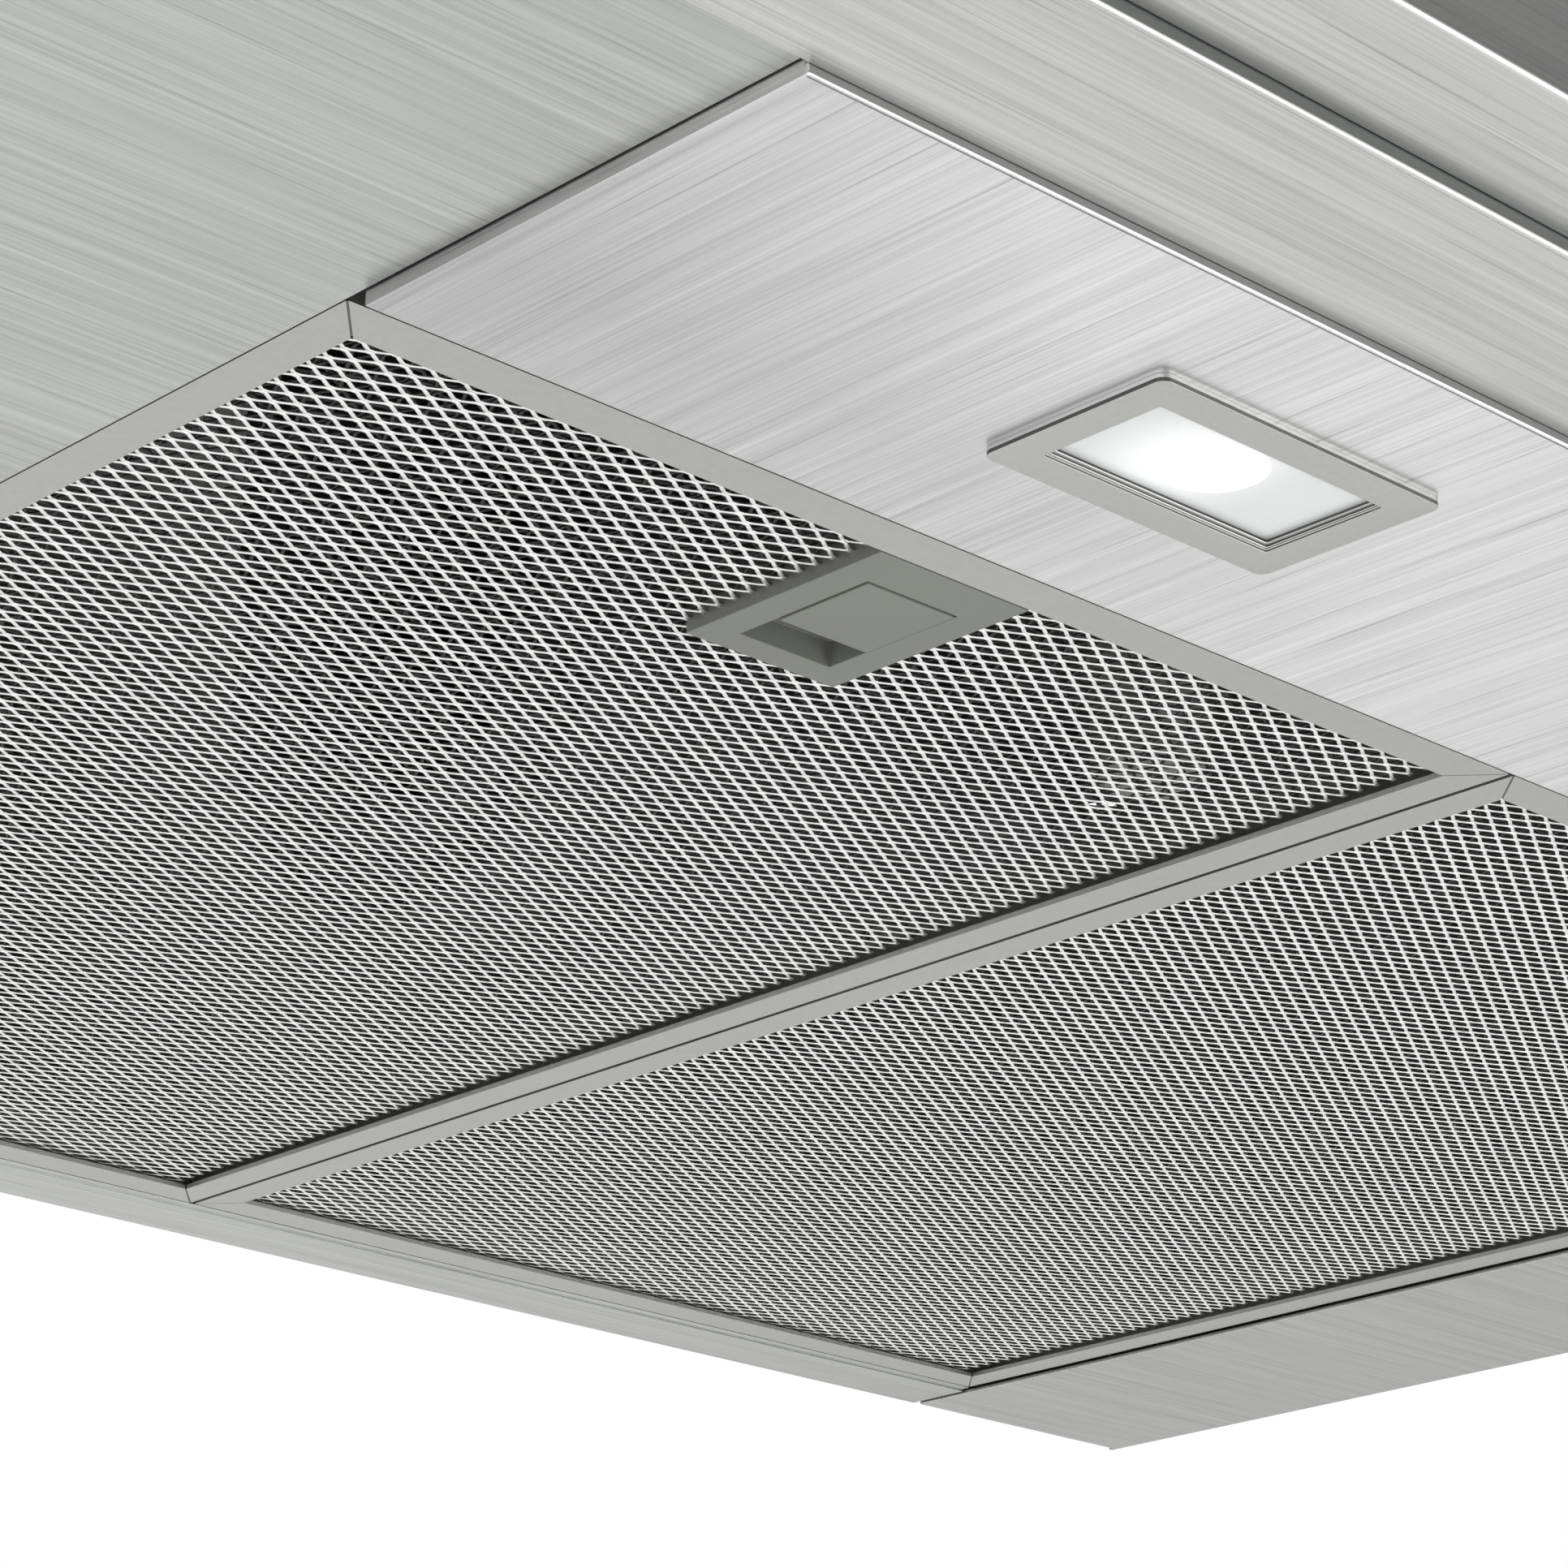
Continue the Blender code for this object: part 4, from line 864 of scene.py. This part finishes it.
def filter_mesh(side):
    low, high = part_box(f"filter_{side}_mesh")
    latch_low, latch_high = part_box(f"filter_{side}_latch_housing")
    core_low, core_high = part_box(f"filter_{side}_core")
    room = Vector((0.05 * MM, 0.05 * MM, 0.0))
    notch = (Vector((latch_low.x, low.y, 0.0)) - room, latch_high + room)
    hem = Vector((3.5 * MM, 4.0 * MM, 0.0))
    outer = zigzag(low + hem, high - hem, (low.z + high.z) / 2, CELL, SECTION, BOND, 0.05 * MM)
    half = len(outer) // 2
    node = f"filter_{side}_mesh"
    for part, rows in (("front", outer[:half]), ("rear", outer[half:])):
        strands = [tubes(group, 4, "strands") for group in notched(rows, *notch)]
        mesh = joined(strands, f"{node}_{part}")
        piece_of(f"filter_{side}_expanded_{part}", mesh, node, material=MESH_METAL)
    layers = []
    for level, cell, swap in (
        (core_low.z + 0.55 * MM, (8.0 * MM, 4.6 * MM), True),
        (core_low.z + 1.40 * MM, (7.4 * MM, 4.6 * MM), False),
    ):
        corners = (core_low + hem, core_high - hem)
        rows = zigzag(*corners, level, cell, INNER_SECTION, 0.9 * MM, 0.12 * MM, swap)
        layers += [tubes(group, 3, "inner") for group in notched(rows, *notch)]
    node = f"filter_{side}_core"
    mesh = joined(layers, f"{node}_layers")
    piece_of(f"filter_{side}_inner_layers", mesh, node, material=PAINTED_SHADE_INNER_METAL)


def mitre_joints(side):
    """Dark blocks in the joints between the four rails, a little above their lower faces: painted shade
    in the gaps.
    """
    rails = {rail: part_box(f"filter_{side}_rail_{rail}") for rail in RAILS}
    level = rails["front"][0].z
    shape = bmesh.new()
    outer_low, outer_high = rails["west"][0], rails["east"][1]
    inner_low, inner_high = rails["west"][1], rails["east"][0]
    ends = (
        ((outer_low.x, rails["front"][0].y), (inner_low.x, rails["front"][1].y)),
        ((outer_high.x, rails["front"][0].y), (inner_high.x, rails["front"][1].y)),
        ((outer_low.x, rails["west"][1].y), (inner_low.x, rails["rear"][0].y)),
        ((outer_high.x, rails["west"][1].y), (inner_high.x, rails["rear"][0].y)),
    )
    for first, second in ends:
        first, second = Vector((*first, 0.0)), Vector((*second, 0.0))
        run = second - first
        place = Matrix.Translation((first + second) / 2 + Vector((0.0, 0.0, level + 0.5 * MM)))
        place @= Matrix.Rotation(math.atan2(run.y, run.x), 4, "Z")
        place @= Matrix.Diagonal((run.length - 0.8 * MM, 0.3 * MM, 0.8 * MM, 1.0))
        bmesh.ops.create_cube(shape, size=1.0, matrix=place)
    mesh = mesh_of(shape, f"filter_{side}_mitres", smooth=False)
    piece = piece_of(f"filter_{side}_mitres", mesh, body=f"filter_{side}", material=PAINTED_SHADE_METAL)


for side, _ in SIDES:
    filter_mesh(side)
    mitre_joints(side)
    for rail in RAILS:
        eased(f"filter_{side}_rail_{rail}", 0.06 * MM)
    eased(f"filter_{side}_latch_housing", 0.18 * MM)
    catch = eased(f"filter_{side}_latch_catch", 0.16 * MM)
    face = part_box(f"filter_{side}_latch_catch")[0].z
    # The thumb slide's face is lowered, so that it stands 0.2 mm proud of the plate round it.
    for vertex in catch.data.vertices:
        if vertex.co.z < face + 0.4 * MM:
            vertex.co.z -= 0.5 * MM


# Upper side: duct outlet, controls and blower

for name, width in (
    ("duct_collar", 0.3),
    ("damper_flap_front", 0.15),
    ("damper_flap_rear", 0.15),
    ("cable_gland", 0.3),
    ("terminal_box", 1.2),
    ("control_plate", 0.25),
    ("switch_block", 0.5),
    ("motor_bracket", 0.3),
    ("inlet_ring", 0.2),
):
    eased(name, width * MM)
for name in ("lamp", "low", "medium", "high"):
    eased(f"button_{name}", 0.45 * MM, 3)


# Stage


FLOOR_LEVEL = -0.80
DIM = (1.25, 2.25)  # the floor is dimmer to the right, from the first X to the second
LIGHTS = (
    ("low_front_light", (0.45, -0.95, -0.76), (0.30, -0.55, -0.15), 1.0, 1.1, 7.0),
    ("high_soft_light", (-1.2, -1.4, 1.7), (0.0, -0.2, 0.0), 1.6, 1.6, 30.0),
)
EYE = (-0.5269, -0.7010, -0.3983)
EYE_RIGHT = Vector((0.72298, -0.69086, 0.00322))
EYE_UP = Vector((-0.25108, -0.25840, 0.93284))
EYE_FORWARD = Vector((0.64363, 0.67523, 0.36028))


def floor():
    """A pale floor below the hood, glowing as a broad lamp. Its colour and glow fall off to the right;
    the colour's falloff is painted light.
    """
    material, tree, shader, coords = new_material("pale_floor", 0.9, 0.0)
    across = add(tree, "ShaderNodeSeparateXYZ", {"Vector": coords}).outputs[0]
    tone = remap(tree, noise(tree, coords, (3, 3, 3), 2.0), 0.3, 0.7, 0.97, 1.0)
    tone = math_node(tree, "MULTIPLY", tone, remap(tree, across, *DIM, 1.0, 0.66))
    tree.links.new(
        mix_colors(tree, 1.0, rgb(0.86, 0.86, 0.855), tone, "MULTIPLY"), shader.inputs["Base Color"]
    )
    shader.inputs["Emission Color"].default_value = rgb(1.0, 1.0, 1.0)
    tree.links.new(remap(tree, across, *DIM, 0.30, 0.05), shader.inputs["Emission Strength"])
    shape = bmesh.new()
    bmesh.ops.create_circle(shape, cap_ends=True, segments=64, radius=9.0)
    mesh = mesh_of(shape, "floor", smooth=False)
    mesh.materials.append(material)
    ground = bpy.data.objects.new("floor", mesh)
    ground.location = (0.0, 0.0, FLOOR_LEVEL)
    bpy.context.scene.collection.objects.link(ground)


def world():
    """A studio: white to the camera, else a pale dome, darker low down except behind the hood."""
    studio = bpy.data.worlds.new("studio")
    studio.use_nodes = True
    bpy.context.scene.world = studio
    tree = studio.node_tree
    tree.nodes.clear()
    output = add(tree, "ShaderNodeOutputWorld")
    way = add(tree, "ShaderNodeTexCoord").outputs["Generated"]
    parts = add(tree, "ShaderNodeSeparateXYZ", {"Vector": way})
    height = remap(tree, parts.outputs[2], 0.42, 0.80, 0.0, 1.0)
    behind = add(
        tree, "ShaderNodeVectorMath", {0: way, 1: (0.69, 0.72, 0.0)}, operation="DOT_PRODUCT"
    ).outputs["Value"]
    open_side = remap(tree, behind, 0.35, 0.75, 0.0, 1.0)
    light = math_node(tree, "MAXIMUM", height, open_side)
    color = mix_colors(tree, light, rgb(0.20, 0.205, 0.20), rgb(1.0, 1.0, 1.0))
    dome = add(tree, "ShaderNodeBackground", {"Color": color, "Strength": 1.0})
    backdrop = add(tree, "ShaderNodeBackground", {"Color": rgb(1.0, 1.0, 1.0), "Strength": 1.0})
    seen = add(tree, "ShaderNodeLightPath").outputs["Is Camera Ray"]
    both = add(tree, "ShaderNodeMixShader", {0: seen, 1: dome.outputs[0], 2: backdrop.outputs[0]})
    tree.links.new(both.outputs[0], output.inputs["Surface"])


def area_light(name, place, target, width, depth, power):
    data = bpy.data.lights.new(name, "AREA")
    data.shape = "RECTANGLE"
    data.size, data.size_y = width, depth
    data.energy = power
    light = bpy.data.objects.new(name, data)
    light.location = place
    light.rotation_euler = (Vector(target) - Vector(place)).to_track_quat("-Z", "Y").to_euler()
    light.visible_camera = False
    bpy.context.scene.collection.objects.link(light)


def camera():
    """A close view from below and in front, up to the rear right."""
    data = bpy.data.cameras.new("camera")
    data.lens = 103.1
    data.sensor_width = 36.0
    data.clip_start = 0.01
    eye = bpy.data.objects.new("camera", data)
    turn = Matrix((EYE_RIGHT, EYE_UP, -EYE_FORWARD)).transposed()
    eye.matrix_world = Matrix.Translation(EYE) @ turn.to_4x4()
    bpy.context.scene.collection.objects.link(eye)
    bpy.context.scene.camera = eye


floor()
world()
for settings in LIGHTS:
    area_light(*settings)
camera()
bpy.context.scene.view_settings.view_transform = "Standard"
